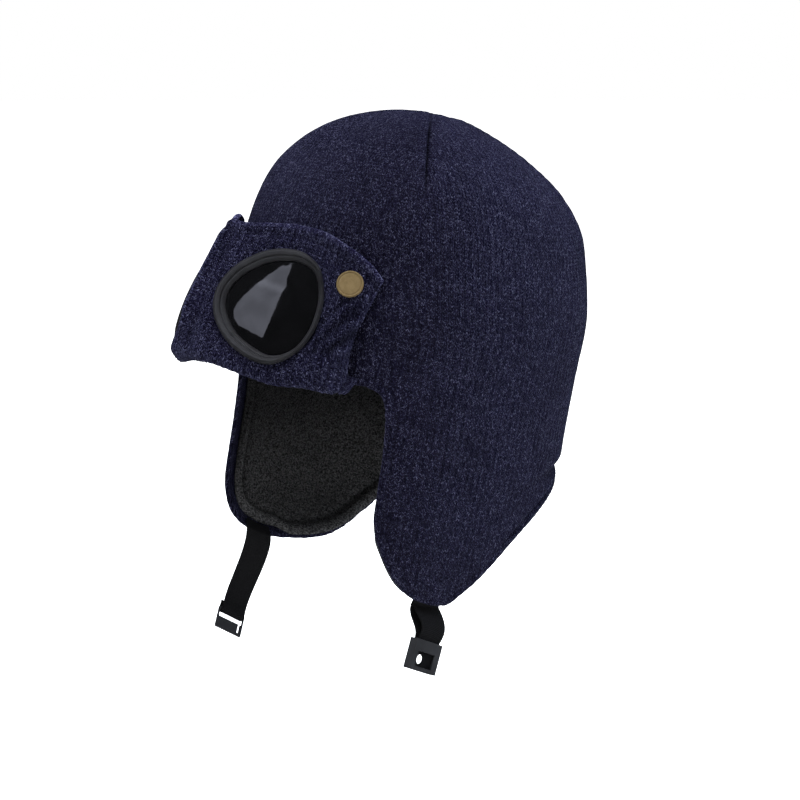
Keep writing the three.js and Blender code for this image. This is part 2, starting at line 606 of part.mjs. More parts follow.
const LENS_LEVELS = (() => {
  const low = 0.1;
  const edge = 0.7;
  const front = (f) => edge + LENS_RISE * (1 - f * f);
  const back = (f) => Math.max(low, front(f) - 1.8);
  const level = (f, up, middle) => ({ out: LENS_EDGE, scale: f, up, middle });
  return [
    level(0.45, back(0.45), back(0)), level(0.8, back(0.8)), level(1, low),
    level(1, edge), level(0.86, front(0.86)), level(0.62, front(0.62)), level(0.32, front(0.32), front(0)),
  ];
})();

// ---------------------------------------------------------------- joins and cuts
function toManifold(geometry) {
  let g = geometry.clone();
  g.deleteAttribute('normal');
  g.deleteAttribute('uv');
  g = mergeVertices(g, 1e-4);
  return new wasm.Manifold(new wasm.Mesh({
    numProp: 3,
    vertProperties: new Float32Array(g.attributes.position.array),
    triVerts: new Uint32Array(g.index.array),
  }));
}

function toGeometry(manifold) {
  const mesh = manifold.getMesh();
  const g = new THREE.BufferGeometry();
  g.setAttribute('position', new THREE.BufferAttribute(new Float32Array(mesh.vertProperties), 3));
  g.setIndex(new THREE.BufferAttribute(new Uint32Array(mesh.triVerts), 1));
  g.computeVertexNormals();
  return g;
}

const cut = (body, ...tools) => toGeometry(tools.reduce((m, t) => m.subtract(toManifold(t)), toManifold(body)));
const join = (body, ...more) => toGeometry(more.reduce((m, t) => m.add(toManifold(t)), toManifold(body)));

const lensHole = (side) => stack([
  { out: RIM_HOLE, scale: 1, up: -9, middle: -9 },
  { out: RIM_HOLE, scale: 1, up: 6, middle: 6 },
], side);
piece('goggle_flap', cut(sheetSolid(panelColumns, PANEL_T), lensHole(1), lensHole(-1)), 0x202031, 0.95);
for (const [name, side] of [['left', 1], ['right', -1]]) {
  piece(`goggle_rim_${name}`, ring(RIM_SECTION, side), 0x2e2f33, 0.5);
  piece(`goggle_lens_${name}`, stack(LENS_LEVELS, side), 0x0c0c0d, 0.08);
}

// ---------------------------------------------------------------- snap caps
// A round cap with a raised rim, its underside just clear of the cloth.
const capProfile = [[0, 1.0], [7.1, 1.0], [7.5, 1.3], [7.5, 2.0], [7.2, 2.4], [6.3, 2.4], [5.9, 2.1], [0, 2.1]];
function snapCap(side) {
  const g = new THREE.LatheGeometry(capProfile.map(([r, h]) => new THREE.Vector2(r, h)), 24);
  let best = null;
  for (let k = 5; k <= 8; k += 0.02) {
    for (let q = 0; q <= 0.6; q += 0.01) {
      const s = panelSurface(k, q);
      const d = Math.hypot(s.u - SNAP_CENTRE.u, s.v - SNAP_CENTRE.v);
      if (!best || d < best.d) best = { d, k, q };
    }
  }
  const at = (k, q) => {
    const s = panelSurface(k, q);
    return clearOfCrown(panelPoint(s.u, s.v, s.out, side), PANEL_GAP + PANEL_T);
  };
  const p = at(best.k, best.q);
  const down = at(best.k, best.q + 0.07).sub(at(best.k, best.q - 0.07));
  const across = at(best.k + 0.35, best.q).sub(at(best.k - 0.35, best.q));
  const out = down.cross(across).normalize().multiplyScalar(side);
  const mesh = new THREE.Object3D();
  mesh.quaternion.setFromUnitVectors(new THREE.Vector3(0, 1, 0), out);
  return { geometry: g, position: p, quaternion: mesh.quaternion };
}
for (const [name, side] of [['left', 1], ['right', -1]]) {
  const cap = snapCap(side);
  const mesh = piece(`snap_cap_${name}`, mergeVertices((() => { cap.geometry.deleteAttribute('normal'); cap.geometry.deleteAttribute('uv'); return cap.geometry; })(), 1e-4), 0x786548, 0.42, 0.85);
  mesh.geometry.computeVertexNormals();
  mesh.position.copy(cap.position);
  mesh.quaternion.copy(cap.quaternion);
}

// ---------------------------------------------------------------- webbing and clasp
// Places a body built with x across, y up and z towards its front.
function placed(geometry, spot) {
  const m = new THREE.Matrix4().makeBasis(spot.across, spot.up, spot.front).setPosition(spot.centre);
  return geometry.applyMatrix4(m);
}

function spotFrom(centre, across, down) {
  const x = across.clone().normalize();
  const y = down.clone().negate().addScaledVector(x, x.dot(down)).normalize();
  return { centre, across: x, up: y, front: x.clone().cross(y) };
}

const inSpot = (spot, x, y, z) => spot.centre.clone().addScaledVector(spot.across, x)
  .addScaledVector(spot.up, y).addScaledVector(spot.front, z);

function block(w, h, d, x = 0, y = 0, z = 0) {
  return new THREE.BoxGeometry(w, h, d).translate(x, y, z);
}

const socketSpot = spotFrom(new THREE.Vector3(83.8, -43.7, -295), new THREE.Vector3(-0.01, 0.91, -0.415), new THREE.Vector3(0.123, -0.415, -0.902));
const plugSpot = spotFrom(new THREE.Vector3(-55.1, -86.4, -300.9), new THREE.Vector3(0.141, 0.842, -0.52), new THREE.Vector3(0.45, -0.522, -0.724));

const SOCKET_BAR = { y: SOCKET.length / 2 - 3.2, radius: 0.6 };
const LOOP_RADIUS = SOCKET_BAR.radius + 0.42 + WEB_T / 2;
const PLUG_BAR = { y: PLUG.length / 2 - 0.9, half: 0.8 };
const WRAP_RADIUS = 2.0;

// Where the webbing of one flap begins, just below the edge of the lining and behind the knit.
function webStart(side, above, depth) {
  return [LINING_INSET - 0.8, 1.2, -2.4].map((inset) => {
    const rim = rimBelow(above, side, inset);
    return sidePoint(side, rim.angle, rim.drop).addScaledVector(sideOut(side, rim.angle, rim.drop), -depth);
  });
}

const WEB_COLUMNS = [-1, -0.5, 0, 0.5, 1];
function bezier(a, b, c, d, n) {
  return Array.from({ length: n + 1 }, (_, i) => {
    const t = i / n;
    const s = 1 - t;
    return a.clone().multiplyScalar(s ** 3).addScaledVector(b, 3 * s * s * t).addScaledVector(c, 3 * s * t * t).addScaledVector(d, t ** 3);
  });
}

// Left webbing: a loop from the flap round the bar of the socket and back to the flap.
const WEB_DEPTH = KNIT_T + 0.3 + WEB_GAP + WEB_T / 2;
const leftWeb = WEB_COLUMNS.map((c) => {
  const x = (c * WEB_WIDTH) / 2;
  const above = lerp(72.6, 82.2, (c + 1) / 2);
  const inner = webStart('left', above, WEB_DEPTH + WEB_T + 0.5);
  const outer = webStart('left', above, WEB_DEPTH);
  const top = SOCKET.length / 2;
  const turn = [180, 216, 252, 288, 324, 360].map((a) => inSpot(socketSpot, x,
    SOCKET_BAR.y + LOOP_RADIUS * Math.sin(rad(a)), LOOP_RADIUS * Math.cos(rad(a))));
  const lead = (w) => w[2].clone().sub(w[1]).setLength(8);
  const back = bezier(inner[2], inner[2].clone().add(lead(inner)), inSpot(socketSpot, x, top + 8, -LOOP_RADIUS - 0.6),
    inSpot(socketSpot, x, top + 1, -LOOP_RADIUS), 4);
  const front = bezier(inSpot(socketSpot, x, top + 1, LOOP_RADIUS), inSpot(socketSpot, x, top + 9, LOOP_RADIUS + 2.2),
    outer[2].clone().add(lead(outer)).add(new THREE.Vector3(3, 0, 0)), outer[2], 5);
  return [inner[0], inner[1], ...back, ...turn, ...front, outer[1], outer[0]];
});
piece('strap_left', sheetSolid(leftWeb, WEB_T), 0x222224, 0.8);

// Right webbing: one layer from the flap, turned round the bar of the plug and ending behind itself.
const rightWeb = WEB_COLUMNS.map((c) => {
  const x = (c * WEB_WIDTH) / 2;
  const start = webStart('right', lerp(63.6, 70.2, (c + 1) / 2), WEB_DEPTH);
  const top = PLUG.length / 2;
  const turn = [0, -36, -72, -108, -144, -180].map((a) => inSpot(plugSpot, x,
    PLUG_BAR.y + WRAP_RADIUS * Math.sin(rad(a)), WRAP_RADIUS * Math.cos(rad(a))));
  const tail = [3, 6].map((y) => inSpot(plugSpot, x, PLUG_BAR.y + y, -WRAP_RADIUS + y * 0.12));
  const path = bezier(start[2], start[2].clone().add(new THREE.Vector3(4, -1, -12)), inSpot(plugSpot, x, top + 18, WRAP_RADIUS - 1),
    inSpot(plugSpot, x, top + 1, WRAP_RADIUS), 6);
  return [start[0], start[1], ...path, ...turn, ...tail];
});
piece('strap_right', sheetSolid(rightWeb, WEB_T), 0x181818, 0.85);

function oval(w, h, d, x, y, z) {
  return new THREE.CylinderGeometry(1, 1, 1, 18).rotateX(Math.PI / 2).scale(w / 2, h / 2, d).translate(x, y, z);
}

// Socket: an open-topped box with the bar, a recess in its front and back and an oval hole through the web
// between them.
const socketBody = cut(
  block(SOCKET.width, SOCKET.length, SOCKET.depth),
  block(WEB_WIDTH + 0.8, 5.6, 2 * LOOP_RADIUS + WEB_T + 0.6, 0, SOCKET.length / 2 - 2.7, 0),
  block(12.4, 8.6, 2.2, -0.4, -2.2, SOCKET.depth / 2 - 0.5),
  block(12.4, 8.6, 3.8, 0.4, -2.2, -SOCKET.depth / 2 + 1.3),
  oval(4.6, 5.4, 12, -3, -2.2, 0),
);
const socketBar = new THREE.CylinderGeometry(SOCKET_BAR.radius, SOCKET_BAR.radius, WEB_WIDTH + 1.6, 12)
  .rotateZ(Math.PI / 2).translate(0, SOCKET_BAR.y, 0);
piece('clasp_socket', placed(join(socketBody, socketBar), socketSpot), 0x3a3b3e, 0.5);

// Plug: a flat plate with a long slot under its bar and a narrow slot that runs down from it.
const plugBody = cut(
  block(PLUG.width, PLUG.length, PLUG.depth),
  block(WEB_WIDTH + 0.6, 4.6, 4, 0, PLUG_BAR.y - PLUG_BAR.half - 2.3, 0),
  block(1.4, 5.6, 4, WEB_WIDTH / 2 - 1.4, PLUG_BAR.y - PLUG_BAR.half - 4.6 - 2.7, 0),
);
piece('clasp_plug', placed(plugBody, plugSpot), 0x3a3b3e, 0.5);

export default hat;
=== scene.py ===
import math

import bpy
import numpy as np
from mathutils import Matrix, Vector


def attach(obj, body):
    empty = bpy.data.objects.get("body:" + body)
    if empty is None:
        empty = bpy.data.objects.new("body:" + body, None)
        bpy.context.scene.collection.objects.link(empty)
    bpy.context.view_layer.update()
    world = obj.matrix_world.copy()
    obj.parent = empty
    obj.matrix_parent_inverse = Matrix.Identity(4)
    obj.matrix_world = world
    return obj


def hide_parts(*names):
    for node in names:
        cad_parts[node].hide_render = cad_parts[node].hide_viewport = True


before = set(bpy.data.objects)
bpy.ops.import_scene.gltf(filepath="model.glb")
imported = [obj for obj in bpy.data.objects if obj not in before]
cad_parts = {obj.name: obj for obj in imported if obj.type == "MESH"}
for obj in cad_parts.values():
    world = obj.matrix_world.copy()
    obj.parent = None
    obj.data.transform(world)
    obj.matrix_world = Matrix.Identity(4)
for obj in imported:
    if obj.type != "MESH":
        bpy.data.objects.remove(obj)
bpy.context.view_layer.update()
MM = 0.001
rng = np.random.default_rng(7)

# ------------------------------------------------------------------ camera
AZIMUTH, ELEVATION, DISTANCE = math.radians(54.0), math.radians(9.5), 1.2
TARGET = Vector((0, 0, -0.1437))
FOCAL = 2016.0          # in pixels of the 800 x 800 picture
toward = Vector((math.sin(AZIMUTH) * math.cos(ELEVATION), -math.cos(AZIMUTH) * math.cos(ELEVATION), math.sin(ELEVATION)))
across = Vector((math.cos(AZIMUTH), math.sin(AZIMUTH), 0))
upward = toward.cross(across)
aim = (-toward + across * (1.76 / FOCAL) - upward * (36.0 / FOCAL)).normalized()
cam_data = bpy.data.cameras.new("camera")
camera = bpy.data.objects.new("camera", cam_data)
bpy.context.scene.collection.objects.link(camera)
camera.location = TARGET + toward * DISTANCE
camera.rotation_mode = "QUATERNION"
camera.rotation_quaternion = aim.to_track_quat("-Z", "Y")
cam_data.sensor_width = 36
cam_data.lens = FOCAL / 800 * 36
cam_data.clip_start, cam_data.clip_end = 0.05, 50
bpy.context.scene.camera = camera

# ------------------------------------------------------------------ sizes, in millimetres, as in the part
KNIT_T, LINING_T, LAYER_GAP = 3.0, 3.0, 0.95
TOP_Z = KNIT_T + LAYER_GAP + LINING_T
EQUATOR_DROP, DART_JOINT_Y = 110, 27
LINING_INSET = 4.5
NAPE_CREASE_DROP = 212
PANEL_T, PANEL_GAP = 3.4, 0.7
PANEL_TURN, PANEL_LEAN = 44.4, 33.4
PANEL_ORIGIN = np.array([0, -161.5, -115.1])
RIGHT_SET_BACK, RIGHT_TOP_RISE, FOLD_RADIUS = 1.8, 4.5, 5
LENS_CENTRE = (46.2, 44.4)
WEB_WIDTH, WEB_T, WEB_GAP = 16.4, 1.0, 0.4
SOCKET_LENGTH, PLUG_LENGTH = 17.4, 13.6
RIB = 4.3               # pitch of the ribs
COURSE = 2.1            # height of a row of stitches
RIB_RELIEF = 0.17

SECTIONS = np.array([  # drop, half width, front, back, power
    (0, 0, 0, 0, 2.05), (6, 35, -36, 31.5, 2.05), (16, 53, -55.5, 52, 2.08), (32, 69, -73, 76, 2.1),
    (55, 81.5, -85.5, 101, 2.12), (85, 89, -94.5, 117, 2.15), (120, 92, -102, 119, 2.15),
    (160, 91.5, -109, 110, 2.15), (200, 91, -115, 101, 2.15), (230, 89, -119, 93, 2.15),
    (260, 85, -121, 87, 2.15), (300, 80, -121, 82, 2.15)], float)
RIM = np.array([  # above, angle, drop, right angle, right drop
    (0, 0, 133, 0, 133), (21, 22, 138, 22, 138), (37, 37, 145, 37, 145), (42, 43.5, 147.5, 43.5, 147.5),
    (45, 48, 153, 48, 153), (48, 50, 163, 49, 163), (51, 51, 181, 49.2, 181), (54, 51.2, 204, 48.5, 204),
    (57, 52, 226, 46.5, 226), (61, 56.5, 244, 48.5, 245), (66, 63.2, 261, 57, 260), (73, 72.2, 271.5, 67, 268),
    (83, 84.5, 276.5, 81, 273.5), (91, 91.5, 272, 94, 273.5), (101, 101, 263, 106, 267), (118, 117, 243.5, 120, 254),
    (135, 133, 231, 135, 237), (148, 147, 224.5, 148, 227), (164, 163, 221, 164, 221.5), (180, 180, 220, 180, 220)], float)
HANG_FROM = 200
HANG = np.array([(200, 0, 0), (212, 0, 3), (228, 0, 13), (246, 1, 30), (264, 3, 46), (300, 4, 52)], float)
PANEL_NAMES = ("topU", "topV", "topOut", "footU", "footV", "footOut", "midOut", "footBend", "bow", "underAngle")
PANEL = np.array([
    (2.5, 80.2, -2.4, 6.0, 0.8, -8.4, 0.8, 28, 0, 0), (9.5, 80.6, -0.8, 16.0, -0.7, -6.8, -0.5, 26, 0, 4),
    (17, 82.8, 0, 22.5, -0.6, -2.0, 0, 15, 0, 8), (27, 86.8, 0.2, 31.5, 0.2, 0, 0, 12, 0, 13.5),
    (41, 91.3, 1.2, 47, 0.9, 0, 0, 12, 0, 21), (56, 93.0, 3.4, 63.3, 2.0, 0, 0, 12, 0, 28.5),
    (69.5, 91.2, 4.0, 81.3, 8.4, -3, 0, 18, 0, 35), (86, 87.6, 1.5, 95.5, 12.2, -10, -1, 34, -1.6, 37.6),
    (97, 82.5, -3, 102, 17.6, -19, -7, 44, -4, 39.4)], float)
RIM_OUTLINE = np.array([
    (10, 29.8), (33, 30.6), (48, 31.9), (64, 33.7), (79, 33.6), (96, 32.0), (118, 29.9), (141, 28.8), (168, 29.6),
    (190, 30.9), (205, 31.2), (232, 30.9), (262, 31.8), (278, 33.3), (298, 35.1), (321, 33.5), (350, 30.8)], float)
RIM_HOLE, LENS_EDGE, LENS_RISE, RIM_NARROW = -6.1, -7.4, 3.0, 4.0
DARTS = ((57.8, 47, 0.35), (144.8, 84, 1.6), (215.2, 84, 1.6), (300.5, 44, 0.35))   # angle of the seam, depth where it ends, swelling beside it


def smooth(a, b, x):
    t = np.clip((np.asarray(x, float) - a) / (b - a), 0, 1)
    return t * t * (3 - 2 * t)


def bell(x, width):
    return np.exp(-((x / width) ** 2))


def unit(v):
    return v / np.maximum(np.linalg.norm(v, axis=-1, keepdims=True), 1e-12)


def through(xs, ys):
    """Monotone cubic curve through the points."""
    xs, ys = np.asarray(xs, float), np.asarray(ys, float)
    slope = np.diff(ys) / np.diff(xs)
    m = np.zeros(len(xs))
    m[0], m[-1] = slope[0], slope[-1]
    for i in range(1, len(xs) - 1):
        if slope[i - 1] * slope[i] > 0:
            w1 = 2 * (xs[i + 1] - xs[i]) + (xs[i] - xs[i - 1])
            w2 = (xs[i + 1] - xs[i]) + 2 * (xs[i] - xs[i - 1])
            m[i] = (w1 + w2) / (w1 / slope[i - 1] + w2 / slope[i])

    def f(x):
        x = np.asarray(x, float)
        i = np.clip(np.searchsorted(xs, x, side="left") - 1, 0, len(xs) - 2)
        h = xs[i + 1] - xs[i]
        t = np.clip((x - xs[i]) / h, 0, 1)
        t2, t3 = t * t, t * t * t
        return (2 * t3 - 3 * t2 + 1) * ys[i] + (t3 - 2 * t2 + t) * h * m[i] + (3 * t2 - 2 * t3) * ys[i + 1] + (t3 - t2) * h * m[i + 1]
    return f


# ------------------------------------------------------------------ smooth noise for the forms
def hash01(ix, iy, iz, seed):
    h = (ix * 374761393 + iy * 668265263 + iz * 2147483647 + seed * 1274126177) & 0xFFFFFFFF
    h = ((h ^ (h >> 13)) * 1274126177) & 0xFFFFFFFF
    return ((h ^ (h >> 16)) & 0xFFFFFF) / float(0xFFFFFF)


def noise3(p, size, seed=0):
    """Value noise from -1 to 1 whose features are about size apart."""
    q = np.asarray(p, float) / size + 1000.0
    i = np.floor(q).astype(np.int64)
    f = q - i
    f = f * f * f * (f * (f * 6 - 15) + 10)
    total = 0.0
    for dx in (0, 1):
        for dy in (0, 1):
            for dz in (0, 1):
                w = ((f[..., 0] if dx else 1 - f[..., 0]) * (f[..., 1] if dy else 1 - f[..., 1]) * (f[..., 2] if dz else 1 - f[..., 2]))
                total = total + w * hash01(i[..., 0] + dx, i[..., 1] + dy, i[..., 2] + dz, seed)
    return 2 * total - 1


# ------------------------------------------------------------------ the outside surface of the hat
depth_key = np.sqrt(SECTIONS[:, 0])
half_width_of, front_of, back_of, power_of = (through(depth_key, SECTIONS[:, c]) for c in (1, 2, 3, 4))


def section(drop):
    k = np.sqrt(np.maximum(drop, 0))
    front, back = front_of(k), back_of(k)
    return half_width_of(k), (front + back) / 2, (back - front) / 2, power_of(k)


def wall_point(angle, drop):
    angle, drop = np.broadcast_arrays(np.asarray(angle, float), np.asarray(drop, float))
    a, mid, b, n = section(drop)
    c, s = np.cos(np.radians(angle)), np.sin(np.radians(angle))
    r = (np.abs(c / b) ** n + np.abs(s / a) ** n) ** (-1 / n)
    return np.stack([r * s, mid - r * c, TOP_Z - drop], -1)


def level(x, y, z):
    a, mid, b, n = section(np.maximum(TOP_Z - z, 0.01))
    return np.abs(x / a) ** n + np.abs((y - mid) / b) ** n - 1


def dome_point(x, y):
    high, low = np.full(np.shape(x), 0.001), np.full(np.shape(x), float(EQUATOR_DROP))
    for _ in range(34):
        d = (high + low) / 2
        out = level(x, y, TOP_Z - d) > 0
        high, low = np.where(out, d, high), np.where(out, low, d)
    return np.stack([x, y, TOP_Z - (high + low) / 2], -1)


def outward(p):
    e = 0.05
    x, y = p[..., 0], p[..., 1]
    z = TOP_Z - np.maximum(TOP_Z - p[..., 2], 0.4)
    return unit(np.stack([
        level(x + e, y, z) - level(x - e, y, z),
        level(x, y + e, z) - level(x, y - e, z),
        level(x, y, z + e) - level(x, y, z - e)], -1))


def dome_at(angle, w):
    e = wall_point(angle, EQUATOR_DROP)
    k = np.sin(np.minimum(w, 0.99985) * math.pi / 2)
    return dome_point(e[..., 0] * k, DART_JOINT_Y + (e[..., 1] - DART_JOINT_Y) * k)


def spline(values, t):
    n = len(values)
    i = np.clip(np.floor(t).astype(int), 0, n - 2)
    f = t - i
    v = lambda k: values[np.clip(k, 0, n - 1)]
    p0, p1, p2, p3 = v(i - 1), v(i), v(i + 1), v(i + 2)
    return 0.5 * (2 * p1 + (p2 - p0) * f + (2 * p0 - 5 * p1 + 4 * p2 - p3) * f * f + (3 * p1 - p0 - 3 * p2 + p3) * f ** 3)


MM_PER_DEGREE = 1.75
above_of = through(np.arange(len(RIM)), RIM[:, 0])
fine_t = np.linspace(0, len(RIM) - 1, 8001)
fine_above = above_of(fine_t)
rim_table = {1: (RIM[:, 1], RIM[:, 2]), -1: (RIM[:, 3], RIM[:, 4])}


def rim_below(above, side, inset=0.0):
    """Angle and depth of the edge below a point of the equator, moved into the cloth by inset."""
    t = np.interp(above, fine_above, fine_t)
    angles, drops = rim_table[side]

    def at(q):
        q = np.clip(q, 0, len(RIM) - 1)
        return np.stack([spline(angles, q) * MM_PER_DEGREE, spline(drops, q)], -1)
    p = at(t)
    d = unit(at(t + 0.05) - at(t - 0.05))
    p = p + np.stack([d[..., 1], -d[..., 0]], -1) * np.asarray(inset, float)[..., None]
    return np.clip(p[..., 0] / MM_PER_DEGREE, 0, 180), p[..., 1]


lean_of = {1: through(HANG[:, 0], HANG[:, 1]), -1: through(HANG[:, 0], HANG[:, 2])}


def side_point(side, angle, drop):
    angle, drop = np.broadcast_arrays(np.asarray(angle, float), np.asarray(drop, float))
    p = wall_point(angle, drop)
    dd = np.maximum(drop - HANG_FROM, 0) / 24
    inward, down = np.zeros(drop.shape), np.zeros(drop.shape)
    for i in range(24):
        lean = np.radians(lean_of[side](HANG_FROM + (i + 0.5) * dd))
        inward, down = inward + np.sin(lean) * dd, down + np.cos(lean) * dd
    z = np.where(drop > HANG_FROM, TOP_Z - HANG_FROM - down, TOP_Z - drop)
    return np.stack([side * (p[..., 0] - inward), p[..., 1], z], -1)


def side_out(side, angle, drop):
    angle, drop = np.broadcast_arrays(np.asarray(angle, float), np.asarray(drop, float))
    turn = side_point(side, angle + 0.5, drop) - side_point(side, angle - 0.5, drop)
    down = side_point(side, angle, drop + 0.5) - side_point(side, angle, drop - 0.5)
    return unit(np.cross(down, turn)) * side


# Edge of the knit as a line in the cloth (angle as millimetres, depth), to measure how near a point is to it.
rim_line = {}
for _side in (1, -1):
    _a, _d = rim_below(np.linspace(0, 180, 700), _side)
    rim_line[_side] = np.stack([_a * MM_PER_DEGREE, _d], -1)


def from_rim(side, angle, drop):
    """Distance of points of the cloth from its edge, up to 30 mm."""
    q = np.stack([np.ravel(angle) * MM_PER_DEGREE, np.ravel(drop)], -1)
    best = np.full(len(q), 30.0)
    line = rim_line[side]
    for s in range(0, len(q), 4000):
        d = np.linalg.norm(q[s:s + 4000, None, :] - line[None, ::2, :], axis=2)
        best[s:s + 4000] = np.minimum(best[s:s + 4000], d.min(1))
    return best.reshape(np.shape(angle))


# ------------------------------------------------------------------ meshes
def make_mesh(name, points, faces, material, uv=None, sharp=None, shade=None):
    """A mesh object from points in millimetres. uv is one pair for each corner of each face, in face order;
    shade is one value a point, a factor on the colour: painted shade darkens the cloth in its seams, folds and grooves,
    and a painted highlight makes it paler on its edges."""
    me = bpy.data.meshes.new(name)
    me.from_pydata((np.asarray(points) * MM).tolist(), [], [list(f) for f in faces] if not isinstance(faces, np.ndarray) else faces.tolist())
    me.polygons.foreach_set("use_smooth", np.ones(len(me.polygons), bool))
    if uv is not None:
        layer = me.uv_layers.new(name="cloth")
        layer.uv.foreach_set("vector", np.asarray(uv, np.float32).ravel())
    if shade is not None:
        layer = me.attributes.new("shade", "FLOAT", "POINT")
        layer.data.foreach_set("value", np.asarray(shade, np.float32).ravel())
    me.update()
    ob = bpy.data.objects.new(name, me)
    bpy.context.scene.collection.objects.link(ob)
    me.materials.append(material)
    if sharp is not None:
        me.set_sharp_from_angle(angle=math.radians(sharp))
    return ob


def grid_faces(first, rows, cols, wrap=False, flip=False):
    """Quads of a grid of rows by cols points, and the row and column of each corner."""
    n = cols if wrap else cols - 1
    j, i = np.meshgrid(np.arange(rows - 1), np.arange(n), indexing="ij")
    j, i = j.ravel(), i.ravel()
    rr = np.stack([j, j + 1, j + 1, j], -1)
    cc = np.stack([i, i, i + 1, i + 1], -1)
    if flip:
        rr, cc = rr[:, ::-1], cc[:, ::-1]
    return first + rr * cols + cc % cols, rr, cc


# ------------------------------------------------------------------ materials
class Nodes:
    """Small helper to lay nodes and links of a material."""

    def __init__(self, name):
        self.mat = bpy.data.materials.new(name)
        self.mat.use_nodes = True
        self.tree = self.mat.node_tree
        self.tree.nodes.clear()
        self.out = self.tree.nodes.new("ShaderNodeOutputMaterial")
        self.bsdf = self.tree.nodes.new("ShaderNodeBsdfPrincipled")
        self.tree.links.new(self.bsdf.outputs[0], self.out.inputs[0])

    def put(self, socket, value):
        if isinstance(value, bpy.types.NodeSocket):
            self.tree.links.new(value, socket)
        elif value is not None:
            socket.default_value = value

    def math(self, op, a, b=None, c=None, clamp=False):
        n = self.tree.nodes.new("ShaderNodeMath")
        n.operation, n.use_clamp = op, clamp
        for s, v in zip(n.inputs, (a, b, c)):
            self.put(s, v)
        return n.outputs[0]

    def vec(self, op, a, b=None, scale=None):
        n = self.tree.nodes.new("ShaderNodeVectorMath")
        n.operation = op
        self.put(n.inputs[0], a)
        if b is not None:
            self.put(n.inputs[1], b)
        if scale is not None:
            self.put(n.inputs[3], scale)
        return n.outputs[0]

    def combine(self, x, y, z=0.0):
        n = self.tree.nodes.new("ShaderNodeCombineXYZ")
        for s, v in zip(n.inputs, (x, y, z)):
            self.put(s, v)
        return n.outputs[0]

    def separate(self, v):
        n = self.tree.nodes.new("ShaderNodeSeparateXYZ")
        self.put(n.inputs[0], v)
        return n.outputs

    def uv(self):
        n = self.tree.nodes.new("ShaderNodeUVMap")
        n.uv_map = "cloth"
        return n.outputs[0]

    def attribute(self, name):
        n = self.tree.nodes.new("ShaderNodeAttribute")
        n.attribute_type, n.attribute_name = "GEOMETRY", name
        return n.outputs["Fac"]

    def place(self):
        return self.tree.nodes.new("ShaderNodeTexCoord").outputs["Object"]

    def noise(self, v, scale, detail=2.0, rough=0.5, distortion=0.0, dims="3D"):
        n = self.tree.nodes.new("ShaderNodeTexNoise")
        n.noise_dimensions = dims
        self.put(n.inputs["Vector"], v)
        n.inputs["Scale"].default_value = scale
        n.inputs["Detail"].default_value = detail
        n.inputs["Roughness"].default_value = rough
        n.inputs["Distortion"].default_value = distortion
        return n.outputs["Fac"]

    def voronoi(self, v, scale, feature="F1", random=1.0):
        n = self.tree.nodes.new("ShaderNodeTexVoronoi")
        n.feature = feature
        self.put(n.inputs["Vector"], v)
        n.inputs["Scale"].default_value = scale
        n.inputs["Randomness"].default_value = random
        return n.outputs["Distance"]

    def dot(self, v, fixed):
        n = self.tree.nodes.new("ShaderNodeVectorMath")
        n.operation = "DOT_PRODUCT"
        self.put(n.inputs[0], v)
        n.inputs[1].default_value = tuple(fixed)
        return n.outputs[1]

    def white(self, v, dims="2D"):
        n = self.tree.nodes.new("ShaderNodeTexWhiteNoise")
        n.noise_dimensions = dims
        self.put(n.inputs["Vector"], v)
        return n.outputs["Value"]

    def ramp(self, v, low, high, out_low=0.0, out_high=1.0, kind="SMOOTHSTEP"):
        n = self.tree.nodes.new("ShaderNodeMapRange")
        n.interpolation_type = kind
        for s, x in zip(n.inputs, (v, low, high, out_low, out_high)):
            self.put(s, x)
        return n.outputs[0]

    def mix(self, f, a, b, kind="MIX"):
        n = self.tree.nodes.new("ShaderNodeMix")
        n.data_type, n.blend_type = "RGBA", kind
        self.put(n.inputs["Factor"], f)
        for s, v in ((n.inputs[6], a), (n.inputs[7], b)):
            self.put(s, (*v, 1) if isinstance(v, tuple) and len(v) == 3 else v)
        return n.outputs[2]

    def bump(self, height, strength, distance, normal=None):
        n = self.tree.nodes.new("ShaderNodeBump")
        n.inputs["Strength"].default_value = strength
        n.inputs["Distance"].default_value = distance
        self.put(n.inputs["Height"], height)
        if normal is not None:
            self.put(n.inputs["Normal"], normal)
        return n.outputs[0]

    def set(self, **values):
        for k, v in values.items():
            s = self.bsdf.inputs[k.replace("_", " ")]
            self.put(s, (*v, 1) if isinstance(v, tuple) and len(v) == 3 else v)


